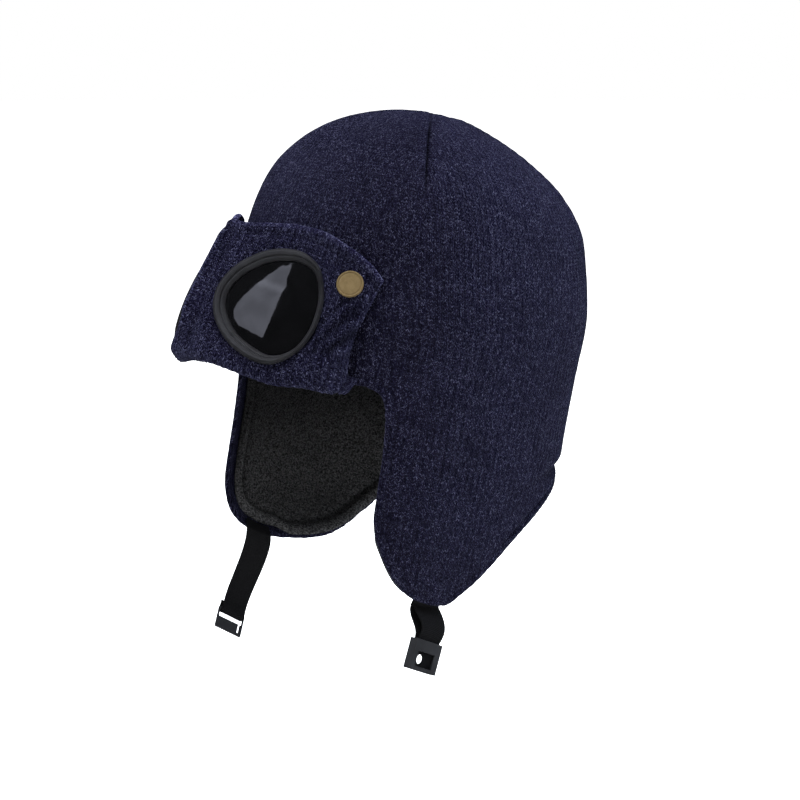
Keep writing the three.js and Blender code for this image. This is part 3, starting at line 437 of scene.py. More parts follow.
def knit_material(name, dark, mid, fleck, sheen=0.3):
    """Marl rib knit. The cloth map holds ribs across and rib widths along the wale."""
    m = Nodes(name)
    x, y, _ = m.separate(m.uv())
    ribs = m.math("MULTIPLY", x, 2.0)                       # two wales to a rib: one raised, one sunk
    rows = m.math("MULTIPLY", y, RIB / COURSE)
    wale = m.math("FLOOR", ribs)
    u = m.math("ABSOLUTE", m.math("SUBTRACT", m.math("FRACT", ribs), 0.5))      # 0 in the middle of a wale, 0.5 between
    slant = m.math("ADD", rows, m.math("MULTIPLY", u, 1.15))
    row = m.math("FLOOR", slant)
    v = m.math("ABSOLUTE", m.math("SUBTRACT", m.math("FRACT", slant), 0.5))
    leg = m.math("SUBTRACT", 1.0, m.math("MULTIPLY", m.math("POWER", m.math("MULTIPLY", v, 2.0), 2.2), 0.9))
    gutter = m.ramp(m.math("ABSOLUTE", m.math("SUBTRACT", u, 0.27)), 0.10, 0.27, 1.0, 0.0)
    stitch = m.math("MULTIPLY", leg, gutter)
    each = m.white(m.combine(wale, row))
    fine = m.noise(m.combine(m.math("MULTIPLY", x, RIB / 1.35), m.math("MULTIPLY", slant, COURSE / 0.80), wale), 1.0, 3.0, 0.68)
    hair = m.noise(m.combine(m.math("MULTIPLY", x, RIB / 0.95), m.math("MULTIPLY", slant, COURSE / 0.66), m.math("ADD", wale, 40.5)), 1.0, 2.0, 0.6, 0.4)
    broad = m.noise(m.place(), 38.0, 3.0, 0.55)
    # marl: most fibres dark blue, some paler and greyer ones
    body = m.mix(m.ramp(fine, 0.38, 0.56), dark, mid)
    spark = m.math("MULTIPLY", m.ramp(fine, 0.55, 0.64), m.ramp(each, 0.1, 0.8, 0.35, 1.0))
    lit = m.mix(spark, body, fleck)
    strands = m.math("MULTIPLY", m.ramp(hair, 0.60, 0.68), 0.9)
    lit = m.mix(strands, lit, fleck)
    shade = m.math("ADD", 0.66, m.math("MULTIPLY", stitch, 0.46))
    shade = m.math("MULTIPLY", shade, m.ramp(broad, 0.3, 0.7, 0.9, 1.12))
    shade = m.math("MULTIPLY", shade, m.ramp(each, 0.0, 1.0, 0.80, 1.20, "LINEAR"))
    # painted shade: the sunk wale of each rib is a little darker
    sunk = m.math("COSINE", m.math("MULTIPLY", x, 2 * math.pi))
    shade = m.math("MULTIPLY", shade, m.math("ADD", 0.96, m.math("MULTIPLY", sunk, 0.09)))
    # the shade attribute brings the painted shade of seams, folds and grooves and the painted highlight of edges into
    # the colour
    shade = m.math("MULTIPLY", shade, m.attribute("shade"))
    colour = m.mix(1.0, lit, m.combine(shade, shade, shade), "MULTIPLY")
    height = m.math("ADD", m.math("MULTIPLY", stitch, 0.75), m.math("MULTIPLY", fine, 0.55))
    m.set(Base_Color=colour, Roughness=0.93, Normal=m.bump(height, 0.9, 0.0011))
    m.bsdf.inputs["Specular IOR Level"].default_value = 0.03
    m.bsdf.inputs["Sheen Weight"].default_value = sheen
    m.bsdf.inputs["Sheen Roughness"].default_value = 0.24
    m.bsdf.inputs["Sheen Tint"].default_value = (0.31, 0.32, 0.65, 1)
    return m.mat


def fleece_material():
    m = Nodes("fleece")
    p = m.place()
    warp = m.noise(p, 260.0, 2.0, 0.6)
    curl = m.voronoi(m.vec("ADD", m.vec("SCALE", p, scale=1.0), m.vec("SCALE", m.combine(warp, warp, warp), scale=0.0012)), 880.0, "SMOOTH_F1")
    tuft = m.noise(p, 1150.0, 3.0, 0.65)
    broad = m.noise(p, 45.0, 2.0, 0.5)
    tone = m.math("ADD", m.math("MULTIPLY", m.ramp(curl, 0.15, 0.62, 1.0, 0.0), 0.6), m.math("MULTIPLY", m.ramp(tuft, 0.42, 0.66), 0.5))
    colour = m.mix(m.math("MINIMUM", tone, 1.0), (0.0018, 0.0018, 0.0018), (0.0250, 0.0249, 0.0250))
    # painted light: the fleece is painted up to 2.9 times lighter towards its bottom and a little darker towards its
    # top; broad varies its tone at random
    height = m.separate(p)[2]
    k = m.math("MULTIPLY", m.ramp(broad, 0.3, 0.7, 0.88, 1.12), m.ramp(height, -0.235, -0.165, 2.9, 0.78))
    # the shade attribute adds painted shade in the groove inside the edge and a painted highlight on the rolled border
    k = m.math("MULTIPLY", k, m.attribute("shade"))
    colour = m.mix(1.0, colour, m.combine(k, k, k), "MULTIPLY")
    m.set(Base_Color=colour, Roughness=0.96, Normal=m.bump(tone, 1.0, 0.0018))
    m.bsdf.inputs["Specular IOR Level"].default_value = 0.03
    m.bsdf.inputs["Sheen Weight"].default_value = 0.04
    m.bsdf.inputs["Sheen Roughness"].default_value = 0.3
    m.bsdf.inputs["Sheen Tint"].default_value = (0.7, 0.7, 0.72, 1)
    return m.mat


def plastic_material(name, low, high, roughness, grain=0.25, scale=2600.0, specular=0.5):
    m = Nodes(name)
    p = m.place()
    fine = m.noise(p, scale, 3.0, 0.6)
    broad = m.noise(p, 90.0, 3.0, 0.6)
    m.set(Base_Color=m.mix(m.ramp(broad, 0.3, 0.7), low, high),
          Roughness=m.ramp(m.noise(p, 240.0, 3.0, 0.6), 0.3, 0.7, roughness - 0.06, roughness + 0.08),
          Normal=m.bump(fine, grain, 0.0002))
    m.bsdf.inputs["Specular IOR Level"].default_value = specular
    return m.mat


def lens_material():
    m = Nodes("lens_black")
    p = m.place()
    smear = m.noise(p, 55.0, 3.0, 0.55, 0.8)
    m.set(Base_Color=m.mix(m.ramp(smear, 0.3, 0.7), (0.0010, 0.0010, 0.0011), (0.0016, 0.0016, 0.0018)),
          Roughness=m.ramp(smear, 0.35, 0.75, 0.025, 0.06), Normal=m.bump(m.noise(p, 30.0, 1.0), 0.05, 0.0003))
    m.bsdf.inputs["IOR"].default_value = 1.52
    m.bsdf.inputs["Specular IOR Level"].default_value = 0.5
    return m.mat


def brass_material():
    m = Nodes("antique_brass")
    p = m.place()
    patina = m.noise(p, 420.0, 4.0, 0.65)
    pits = m.noise(p, 2400.0, 2.0, 0.6)
    m.set(Base_Color=m.mix(m.ramp(patina, 0.3, 0.72), (0.140, 0.098, 0.042), (0.182, 0.130, 0.060)),
          Metallic=0.55, Roughness=m.ramp(patina, 0.3, 0.7, 0.38, 0.52),
          Normal=m.bump(m.math("ADD", patina, m.math("MULTIPLY", pits, 0.4)), 0.35, 0.0003))
    return m.mat


def webbing_material():
    m = Nodes("webbing")
    x, y, _ = m.separate(m.uv())                       # millimetres across and along
    a = m.math("MULTIPLY", x, 1 / 0.62)
    b = m.math("MULTIPLY", y, 1 / 0.95)
    over = m.math("FRACT", m.math("MULTIPLY", m.math("ADD", m.math("FLOOR", a), m.math("FLOOR", b)), 0.5))
    ca = m.math("SINE", m.math("MULTIPLY", m.math("FRACT", a), math.pi))
    cb = m.math("SINE", m.math("MULTIPLY", m.math("FRACT", b), math.pi))
    h = m.math("MULTIPLY", m.math("ADD", m.math("MULTIPLY", ca, 0.5), m.math("MULTIPLY", cb, 0.7)), m.ramp(over, 0.0, 0.5, 0.75, 1.0))
    fibre = m.noise(m.combine(m.math("MULTIPLY", x, 9.0), m.math("MULTIPLY", y, 2.0), 0.0), 1.0, 2.0, 0.6)
    tone = m.math("MULTIPLY", m.ramp(h, 0.1, 1.1), m.ramp(fibre, 0.3, 0.7, 0.7, 1.1))
    m.set(Base_Color=m.mix(tone, (0.0016, 0.0016, 0.0018), (0.0072, 0.0072, 0.0078)), Roughness=0.78, Normal=m.bump(h, 0.6, 0.0003))
    m.bsdf.inputs["Specular IOR Level"].default_value = 0.06
    return m.mat


# knit and knit_panel are lit and shaded copies of one marl knit: the panel's copy is painted lighter, with more sheen,
# and the crown's darker, to match how light falls on each
knit = knit_material("knit", (0.0009, 0.0008, 0.0031), (0.0050, 0.0046, 0.0140), (0.062, 0.063, 0.103), 0.050)
knit_panel = knit_material("knit_panel", (0.0011, 0.0010, 0.0038), (0.0066, 0.0062, 0.0180), (0.062, 0.064, 0.108), 0.08)
fleece = fleece_material()
rim_plastic = plastic_material("rim_plastic", (0.0085, 0.0085, 0.0095), (0.0135, 0.0135, 0.0150), 0.42, 0.35)
clasp_plastic = plastic_material("clasp_plastic", (0.0125, 0.0128, 0.0142), (0.0175, 0.0180, 0.0198), 0.38, 0.3)
socket_plastic = plastic_material("socket_plastic", (0.0125, 0.0128, 0.0142), (0.0175, 0.0180, 0.0198), 0.38, 0.3)
lens_black = lens_material()
brass = brass_material()
webbing = webbing_material()

# ------------------------------------------------------------------ knitted crown and ear flaps
SEAMS = [d[0] for d in DARTS]



def arc_along(p, axis):
    d = np.linalg.norm(np.diff(p, axis=axis), axis=-1)
    z = np.zeros_like(np.take(d, [0], axis=axis))
    return np.concatenate([z, np.cumsum(d, axis=axis)], axis=axis)


# Equator: ribs are counted between the seams so that the pattern closes on itself.
fine_angle = np.linspace(0, 360, 7201)
eq_line = wall_point(fine_angle, EQUATOR_DROP)
eq_arc = arc_along(eq_line, 0)
angle_at = lambda s: np.interp(s, eq_arc, fine_angle)
arc_at = lambda a: np.interp(a, fine_angle, eq_arc)
total_arc = eq_arc[-1]
rib_at_angle_x, rib_at_angle_y = [], []
bounds_angle = [SEAMS[3] - 360, *SEAMS, SEAMS[0] + 360]
signed_arc = lambda a: np.where(np.asarray(a, float) < 0, arc_at(np.mod(a, 360)) - total_arc, np.where(np.asarray(a, float) > 360, arc_at(np.mod(a, 360)) + total_arc, arc_at(np.clip(a, 0, 360))))
PER_RIB = 5
columns, rib_index, panel_of = [], [], []
count = 0
panels = []
for p in range(4):
    a0, a1 = bounds_angle[p], bounds_angle[p + 1]
    s0, s1 = float(signed_arc(a0)), float(signed_arc(a1))
    n_ribs = int(round((s1 - s0) / RIB))
    n = n_ribs * PER_RIB
    s = s0 + (s1 - s0) * np.arange(n) / n
    ang = np.where(s < 0, angle_at(s + total_arc) - 360, angle_at(np.maximum(s, 0)))
    ang[0] = a0
    panels.append({"first": len(columns), "n": n, "rib0": count, "ribs": n_ribs, "a0": a0, "a1": a1})
    columns += list(ang)
    rib_index += list(count + np.arange(n) / PER_RIB)
    count += n_ribs
columns = np.array(columns)
rib_index = np.array(rib_index)
NCOL, NRIB = len(columns), count
angle360 = np.mod(columns, 360)
side_of = np.where(angle360 > 180, -1, 1)
above = np.where(angle360 > 180, 360 - angle360, angle360)
seam_cols = [p["first"] for p in panels]          # column of each seam: front right, front left, back left, back right

# rib number as a function of the place round the wall, for the side wall, where the wales run straight down
order = np.argsort(angle360)
wall_rib = lambda a360: np.interp(a360, np.concatenate([angle360[order] - 360, angle360[order], angle360[order] + 360]),
                                  np.concatenate([rib_index[order], rib_index[order], rib_index[order]]) +
                                  np.concatenate([np.where(rib_index[order] > NRIB / 2 + 40, -0.0, 0.0)] * 3), period=None)


def continuous_rib(a360):
    """Rib number round the wall without a jump except at the first seam."""
    first = columns[0]                              # negative angle of the front right seam
    a = np.mod(np.asarray(a360, float) - first, 360) + first
    return np.interp(a, np.append(columns, columns[0] + 360), np.append(rib_index, NRIB))


# dome rows, closer together where the wales meet the seams at an angle
dome_w = np.concatenate([np.linspace(0.018, 0.10, 5)[:-1], np.linspace(0.10, 0.78, 44)[:-1], np.linspace(0.78, 1.0, 11)])
dome = dome_at(columns[None, :], dome_w[:, None])
dome_out = outward(dome)
n_dome = len(dome_w)

# rib number on the dome: straight wales from the middle of each panel, which end at the seams above the dart ends
rib_left = np.zeros((n_dome, NCOL + 1))            # as seen from the face before the column
rib_right = np.zeros((n_dome, NCOL + 1))
seam_end = {0: DARTS[3][1], 1: DARTS[0][1], 2: DARTS[1][1], 3: DARTS[2][1]}   # by panel start seam
closed = np.concatenate([dome, dome[:, :1]], 1)
for k, pn in enumerate(panels):
    i0, i1 = pn["first"], pn["first"] + pn["n"]
    strip = closed[:, i0:i1 + 1]
    arc = arc_along(strip, 1)
    mid_i = pn["n"] // 2
    s = arc - arc[:, mid_i:mid_i + 1]
    half = {-1: arc[:, mid_i], 1: arc[:, -1] - arc[:, mid_i]}
    depth = {-1: TOP_Z - strip[:, 0, 2], 1: TOP_Z - strip[:, -1, 2]}
    ends = {-1: seam_end[k], 1: seam_end[(k + 1) % 4]}
    ribs_half = {-1: mid_i / PER_RIB, 1: (pn["n"] - mid_i) / PER_RIB}
    r = np.zeros_like(s)
    for sgn in (-1, 1):
        L = half[sgn]
        L_end = float(np.interp(ends[sgn], depth[sgn], L))
        eff = L_end + 3.0 * np.logaddexp(0, (L - L_end) / 3.0)
        r = np.where(np.sign(s) == sgn, s / eff[:, None] * ribs_half[sgn] * (L[-1] / L[-1]), r)
        eff_eq = eff[-1]
        r = np.where(np.sign(s) == sgn, r * (eff_eq / L[-1]) ** smooth(0.75, 1.0, dome_w)[:, None], r)
    r = pn["rib0"] + mid_i / PER_RIB + r
    rib_right[:, i0:i1] = r[:, :-1]
    rib_left[:, i0 + 1:i1 + 1] = r[:, 1:]
rib_left[:, 0] = rib_left[:, NCOL]                 # the last face meets the first column
rib_right[:, NCOL] = rib_left[:, NCOL]


def rib_height(r):
    return 2 * np.abs(np.cos(math.pi * r)) - 1.27


def dart_relief(p, sharp=1.0):
    h = np.zeros(p.shape[:-1])
    for angle, end, swell in DARTS:
        e = wall_point(angle, EQUATOR_DROP)
        d = np.array([e[0], e[1] - DART_JOINT_Y])
        d = d / np.linalg.norm(d)
        qx, qy = p[..., 0], p[..., 1] - DART_JOINT_Y
        along = qx * d[0] + qy * d[1]
        off = np.abs(qx * d[1] - qy * d[0])
        fade = (1 - smooth(end * 0.72, end * 1.04, TOP_Z - p[..., 2])) * (along > -3)
        puff = swell * np.exp(-(((off - 5.2) / 4.0) ** 2))
        near_top = smooth(4, 16, along)
        closing = 0.2 + 0.8 * smooth(3, 13, TOP_Z - p[..., 2])
        h = h + fade * (puff * near_top - closing * (0.95 * np.exp(-((off / 0.85) ** 2)) + 0.3 * np.exp(-((off / 3.0) ** 2))))
    return h


# Painted shade: the knit is painted darker along each dart seam, weaker near the top and fading out towards the dart's
# end.
def dart_painted_shade(p):
    h = np.ones(p.shape[:-1])
    for angle, end, swell in DARTS:
        e = wall_point(angle, EQUATOR_DROP)
        d = np.array([e[0], e[1] - DART_JOINT_Y])
        d = d / np.linalg.norm(d)
        qx, qy = p[..., 0], p[..., 1] - DART_JOINT_Y
        along = qx * d[0] + qy * d[1]
        off = np.abs(qx * d[1] - qy * d[0])
        fade = (1 - smooth(end * 0.6, end * 1.06, TOP_Z - p[..., 2])) * (along > -1)
        fade = fade * (0.25 + 0.75 * smooth(2, 8, TOP_Z - p[..., 2]))
        h = h * (1 - fade * (0.88 * np.exp(-((off / 0.66) ** 2)) + 0.14 * np.exp(-((off / 3.2) ** 2))))
    return h


def hem_relief(side, angle, drop, e):
    """The rolled edge of the knit and the groove above it, deepest on the back edge of the flaps."""
    back = smooth(104, 116, angle) * (1 - smooth(150, 162, angle))
    if side < 0:
        back = back * 0.8
    groove = 0.35 + 1.9 * back
    return -groove * bell(e - 5.4, 1.5) + (0.2 + 0.5 * back) * bell(e - 2.6, 1.9) + 0.6 * back * bell(e - 9.5, 3.0)


def nape_relief(angle, drop):
    away = smooth(112, 140, angle)
    wave = 2.0 * np.sin(np.radians(angle) * 5.0)
    return away * (-2.4 * bell(drop - NAPE_CREASE_DROP - 0.3 * wave, 3.4) + 0.5 * bell(drop - NAPE_CREASE_DROP - 8, 5)
                   + 0.5 * bell(drop - NAPE_CREASE_DROP + 7, 5))


ROUND = [15, 40, 65, 90, 115, 140, 165]            # angles round the edge
def knit_layers():
    outer_v = np.concatenate([np.linspace(0, 0.8, 25)[1:], np.linspace(0.8, 1.0, 13)[1:]])
    inner_v = np.array([1.0, 0.9, 0.78, 0.62, 0.4, 0.2])
    inner_w = np.array([1.0, 0.86, 0.7, 0.52, 0.34, 0.16, 0.03])
    rows, ribs, painted_shadings = [], [], []
    half = KNIT_T / 2

    def side_row(v, inset, depth, relief):
        p = np.zeros((NCOL, 3))
        rib = np.zeros(NCOL)
        painted_shading = np.ones(NCOL)
        for side in (1, -1):
            pick = side_of == side
            if inset < half:
                nub = 0.35 * noise3(rows[-1][pick], 2.6, 31)
                ra, rd = rim_below(above[pick], side, inset + nub)
            else:
                ra, rd = rim_below(above[pick], side, inset)
            ang = above[pick] + (ra - above[pick]) * v
            drop = EQUATOR_DROP + (rd - EQUATOR_DROP) * v
            base = side_point(side, ang, drop)
            out = side_out(side, ang, drop)
            r = continuous_rib(np.where(side > 0, ang, 360 - ang))
            if side < 0:
                r = np.where(r > NRIB - 1e-6, r, r)
            if relief:
                e = from_rim(side, ang, drop)
                w = smooth(0, 2.2, e)
                h = RIB_RELIEF * rib_height(r) * w + nape_relief(ang, drop) + hem_relief(side, ang, drop, e)
                h = h + 0.55 * noise3(base, 46, 3) * smooth(3, 20, e) - 0.25 + 0.10 * noise3(base, 2.6, 5)
                back = smooth(104, 116, ang) * (1 - smooth(150, 162, ang))
                # painted shade in the hem groove and the nape crease, and a painted highlight along the very edge
                painted_shading[pick] = (1 - (0.12 + 0.5 * back) * bell(e - 5.4, 1.3)) * (1 - 0.45 * smooth(112, 140, ang) * bell(drop - NAPE_CREASE_DROP, 2.4)) + 0.25 * bell(e, 2.0)
            else:
                h = 0.0 * r
            p[pick] = base + out * (h - depth)[:, None]
            rib[pick] = r
        painted_shadings.append(painted_shading)
        return p, rib

    # dome, outside
    r_avg = (rib_left[:, :NCOL] + rib_right[:, :NCOL]) / 2
    hgt = RIB_RELIEF * rib_height(r_avg) + dart_relief(dome) + 0.55 * noise3(dome, 46, 3) - 0.25 + 0.10 * noise3(dome, 2.6, 5)
    for j in range(n_dome):
        rows.append(dome[j] + dome_out[j] * hgt[j][:, None])
        painted_shadings.append(dart_painted_shade(dome[j]))
    for v in outer_v:
        p, rib = side_row(v, half, 0.0, True)
        rows.append(p)
        ribs.append(rib)
    n_out = len(rows)
    for phi in ROUND:
        s, c = math.sin(math.radians(phi)), math.cos(math.radians(phi))
        p, rib = side_row(1.0, half * (1 - s), half * (1 - c), False)
        rows.append(p)
        ribs.append(rib)
    for v in inner_v:
        p, rib = side_row(v, half, KNIT_T, False)
        rows.append(p)
        ribs.append(rib)
    for w in inner_w:
        q = dome_at(columns, w)
        rows.append(q - outward(q) * KNIT_T)
        ribs.append(rib_index.copy())
        painted_shadings.append(np.ones(NCOL))
    return np.array(rows), np.array(ribs), np.array(painted_shadings)


rows, side_ribs, crown_painted_shading = knit_layers()
top = dome_point(np.array(0.0), np.array(float(DART_JOINT_Y)))
pole_out = top + outward(top) * -0.9
pole_in = top - outward(top) * KNIT_T
points = np.concatenate([rows.reshape(-1, 3), [pole_out, pole_in]])
nrow = len(rows)
faces, rr, cc = grid_faces(0, nrow, NCOL, wrap=True)
lengthwise = arc_along(rows, 0) / RIB
all_left = np.concatenate([rib_left, np.concatenate([side_ribs, side_ribs[:, :1]], 1)], 0)
all_right = np.concatenate([rib_right, np.concatenate([side_ribs, side_ribs[:, :1]], 1)], 0)
all_left[n_dome:, NCOL] = NRIB
all_left[n_dome:, 0] = NRIB
# a face takes the rib numbers of its own side of a seam; the first seam has a jump on every row
start_col = cc[:, 0][:, None]
u = np.where(cc == start_col, all_right[rr, cc % NCOL], all_left[rr, cc])
# on the side wall the points next to the first seam may fall on either side of the jump
spread = u.max(1) - u.min(1)
u = np.where((spread > NRIB / 2)[:, None] & (u < NRIB / 2), u + NRIB, u)
uv = np.stack([u, lengthwise[rr, cc % NCOL]], -1)
a = len(points) - 2
i = np.arange(NCOL)
cap_out = np.stack([np.full(NCOL, a), i, (i + 1) % NCOL], -1)
last = (nrow - 1) * NCOL
cap_in = np.stack([np.full(NCOL, a + 1), last + (i + 1) % NCOL, last + i], -1)
face_list = faces.tolist() + cap_out.tolist() + cap_in.tolist()
uv_list = np.concatenate([uv.reshape(-1, 2),
                          np.stack([np.stack([rib_right[0, :NCOL], rib_right[0, :NCOL], rib_left[0, 1:]], -1), np.full((NCOL, 3), 0.0)], -1).reshape(-1, 2),
                          np.zeros((NCOL * 3, 2))])
# painted shade on the crown, from the seams, hem and nape; the outer pole, where the dart seams meet, is painted darker
# too
crown = make_mesh("crown_knit", points, face_list, knit, uv_list, shade=np.append(crown_painted_shading.ravel(), [0.5, 1.0]))

# ------------------------------------------------------------------ fleece lining
def lining_inset(side, above_):
    """How far the lining's edge lies inside the edge of the knit: least at the tips, where the fleece shows."""
    if side > 0:
        return LINING_INSET - 4.9 * smooth(54, 59, above_) * (1 - smooth(68.5, 71.5, above_)) - 3.0 * smooth(84, 92, above_) * (1 - smooth(140, 160, above_))
    return LINING_INSET + 1.0 * smooth(44, 52, above_) * (1 - smooth(56, 62, above_)) - 4.9 * smooth(71.5, 78, above_) * (1 - smooth(140, 160, above_))


def lining_mesh():
    ncol = 600
    s = total_arc * np.arange(ncol) / ncol
    ang = angle_at(s)
    side = np.where(ang > 180, -1, 1)
    abv = np.where(ang > 180, 360 - ang, ang)
    half = LINING_T / 2
    outer_w = np.array([0.05, 0.2, 0.36, 0.52, 0.68, 0.84, 1.0])
    outer_v = np.array([0.25, 0.45, 0.62, 0.76, 0.88, 1.0])
    inner_v = np.concatenate([np.linspace(1.0, 0.80, 22), np.linspace(0.80, 0.0, 64)[1:]])
    inner_w = np.linspace(1.0, 0.03, 52)[1:]
    rows, painted_shadings = [], []

    def side_row(v, inset, depth, nub):
        p = np.zeros((ncol, 3))
        painted_shading = np.ones(ncol)
        for sd in (1, -1):
            pick = side == sd
            ra, rd = rim_below(abv[pick], sd, inset + lining_inset(sd, abv[pick]))
            a = abv[pick] + (ra - abv[pick]) * v
            d = EQUATOR_DROP + (rd - EQUATOR_DROP) * v
            base = side_point(sd, a, d)
            h = 0.0
            if nub:
                e = from_rim(sd, a, d) - lining_inset(sd, abv[pick])
                # painted shade in the groove inside the lining's edge and a painted highlight on its rolled border
                painted_shading[pick] = 1 - 0.5 * bell(e - 8.8, 1.5) * (1 - smooth(150, 175, a)) + 0.4 * bell(e - 3.8, 3.2)
                h = nub * (0.22 * noise3(base, 3.0, 11) + 0.30 * noise3(base, 1.9, 12) + 0.5 * noise3(base, 34, 13)
                           - 1.5 * bell(e - 8.6, 1.9) * (1 - smooth(150, 175, a)) + 0.75 * bell(e - 4.0, 2.8))
            p[pick] = base - side_out(sd, a, d) * (depth + h)[:, None] if nub else base - side_out(sd, a, d) * depth
        painted_shadings.append(painted_shading)
        return p

    outer_depth = KNIT_T + LAYER_GAP
    for w in outer_w:
        q = dome_at(ang, w)
        rows.append(q - outward(q) * outer_depth)
        painted_shadings.append(np.ones(ncol))
    for v in outer_v:
        rows.append(side_row(v, half, outer_depth, 0))
    for phi in ROUND:
        sn, cs = math.sin(math.radians(phi)), math.cos(math.radians(phi))
        rows.append(side_row(1.0, half * (1 - sn), outer_depth + half * (1 - cs), 0.35 * (phi > 90)))
    for v in inner_v:
        rows.append(side_row(v, half, TOP_Z, 1.0))
    for w in inner_w:
        q = dome_at(ang, w)
        painted_shadings.append(np.ones(ncol))
        h = 0.22 * noise3(q, 3.0, 11) + 0.30 * noise3(q, 1.9, 12) + 0.5 * noise3(q, 34, 13)
        rows.append(q - outward(q) * (TOP_Z + np.maximum(h, -0.5) * smooth(0.05, 0.2, w))[:, None])
    rows = np.array(rows)
    n = len(rows)
    pts = np.concatenate([rows.reshape(-1, 3), [top - outward(top) * outer_depth, top - outward(top) * TOP_Z]])
    faces, _, _ = grid_faces(0, n, ncol, wrap=True)
    i = np.arange(ncol)
    last = (n - 1) * ncol
    a = len(pts) - 2
    faces = faces.tolist() + np.stack([np.full(ncol, a), i, (i + 1) % ncol], -1).tolist() \
        + np.stack([np.full(ncol, a + 1), last + (i + 1) % ncol, last + i], -1).tolist()
    return make_mesh("fleece_lining", pts, faces, fleece, shade=np.append(np.array(painted_shadings).ravel(), [1.0, 1.0]))


lining = lining_mesh()

# ------------------------------------------------------------------ front panel
panel_up = np.array([0, math.sin(math.radians(PANEL_LEAN)), math.cos(math.radians(PANEL_LEAN))])
tilt = math.atan(math.cos(math.radians(PANEL_TURN)) * math.tan(math.radians(PANEL_LEAN)))
panel_out = np.array([math.sin(math.radians(PANEL_TURN)) * math.cos(tilt), -math.cos(math.radians(PANEL_TURN)) * math.cos(tilt), math.sin(tilt)])
panel_across = np.cross(panel_up, panel_out)
panel_of_name = {n: through(np.arange(9), PANEL[:, i]) for i, n in enumerate(PANEL_NAMES)}


def panel_point(u, v, out, side=1):
    u, v, out = np.broadcast_arrays(np.asarray(u, float), np.asarray(v, float), np.asarray(out, float))
    if side < 0:
        out = out - RIGHT_SET_BACK * smooth(0, 9, u)
    p = PANEL_ORIGIN + u[..., None] * panel_across + v[..., None] * panel_up + out[..., None] * panel_out
    return p * np.array([side, 1, 1])


def panel_surface(k, q, side=1):
    g = {n: f(k) for n, f in panel_of_name.items()}
    if side < 0:
        g["topV"] = g["topV"] + RIGHT_TOP_RISE * smooth(0, 1.2, k) * (1 - smooth(2, 4.2, k))
    v = g["topV"] + (g["footV"] - g["topV"]) * q
    u = g["topU"] + (g["footU"] - g["topU"]) * q + g["bow"] * np.sin(math.pi * q)
    rise = smooth01((v - (g["topV"] - 13)) / 13)
    fall = 1 - smooth01((v - g["footV"]) / (g["footBend"] - g["footV"]))
    return u, v, g["midOut"] + (g["topOut"] - g["midOut"]) * rise + (g["footOut"] - g["midOut"]) * fall


def smooth01(t):
    t = np.clip(t, 0, 1)
    return t * t * (3 - 2 * t)


def clear_of_crown(p, gap):
    p = np.array(p, float)
    for _ in range(6):
        e = 0.1
        x, y, z = p[..., 0], p[..., 1], p[..., 2]
        here = level(x, y, z)
        slope = np.stack([level(x + e, y, z) - here, level(x, y + e, z) - here, level(x, y, z + e) - here], -1) / e
        size = np.linalg.norm(slope, axis=-1)
        push = np.maximum(gap - here / size, 0)
        push = np.where(push > 0.01, push, 0)
        p = p + slope / size[..., None] * push[..., None]
    return p


def panel_middle(k, side, fine=56):
    """Middle line of one column of the panel, from its top edge down, round the foot and back to the brow."""
    k = np.asarray(k, float)
    q = np.linspace(0, 0.88, fine)
    leaf = []
    for qq in q:
        u, v, o = panel_surface(k, qq, side)
        leaf.append(clear_of_crown(panel_point(u, v, o - PANEL_T / 2, side), PANEL_GAP + PANEL_T / 2))
    u, v, o = panel_surface(k, 1.0, side)
    foot = clear_of_crown(panel_point(u, v, o - PANEL_T / 2, side), PANEL_GAP + PANEL_T / 2)
    ra, rd = rim_below(panel_of_name["underAngle"](k), 1, 0.0)
    end = wall_point(ra, rd - 4)
    end = end + outward(end) * (PANEL_GAP + PANEL_T / 2)
    end = end * np.array([side, 1, 1])
    reach = np.linalg.norm(foot - end, axis=-1)
    turn = np.minimum(FOLD_RADIUS * 1.6, reach * 0.45)[..., None]
    start = foot + unit(leaf[-1] - foot) * turn
    to = foot + unit(end - foot) * turn
    fold = [start * (1 - t) ** 2 + foot * 2 * t * (1 - t) + to * t * t for t in np.linspace(0, 1, 15)]
    under = [to + (end - to) * t for t in np.linspace(0, 1, 14)[1:]]
    return np.stack([*leaf, *fold, *under], -2)        # columns, points, xyz


def resample(lines, at):
    """Points along each line at the arc lengths in at (lines by positions)."""
    arc = arc_along(lines, 1)
    out = np.zeros((lines.shape[0], at.shape[1], 3))
    for i in range(lines.shape[0]):
        for c in range(3):
            out[i, :, c] = np.interp(at[i], arc[i], lines[i, :, c])
    return out


def narrowing(angles):
    """How far the inside of the rim is moved out towards the rear."""
    a = np.mod(angles, 360)
    return RIM_NARROW * np.where(a < 180, 1 - smooth(45, 100, a), smooth(275, 325, a))


EDGE_ARCS = (1 - np.cos(np.radians([0, 20, 40, 58, 75, 90])))


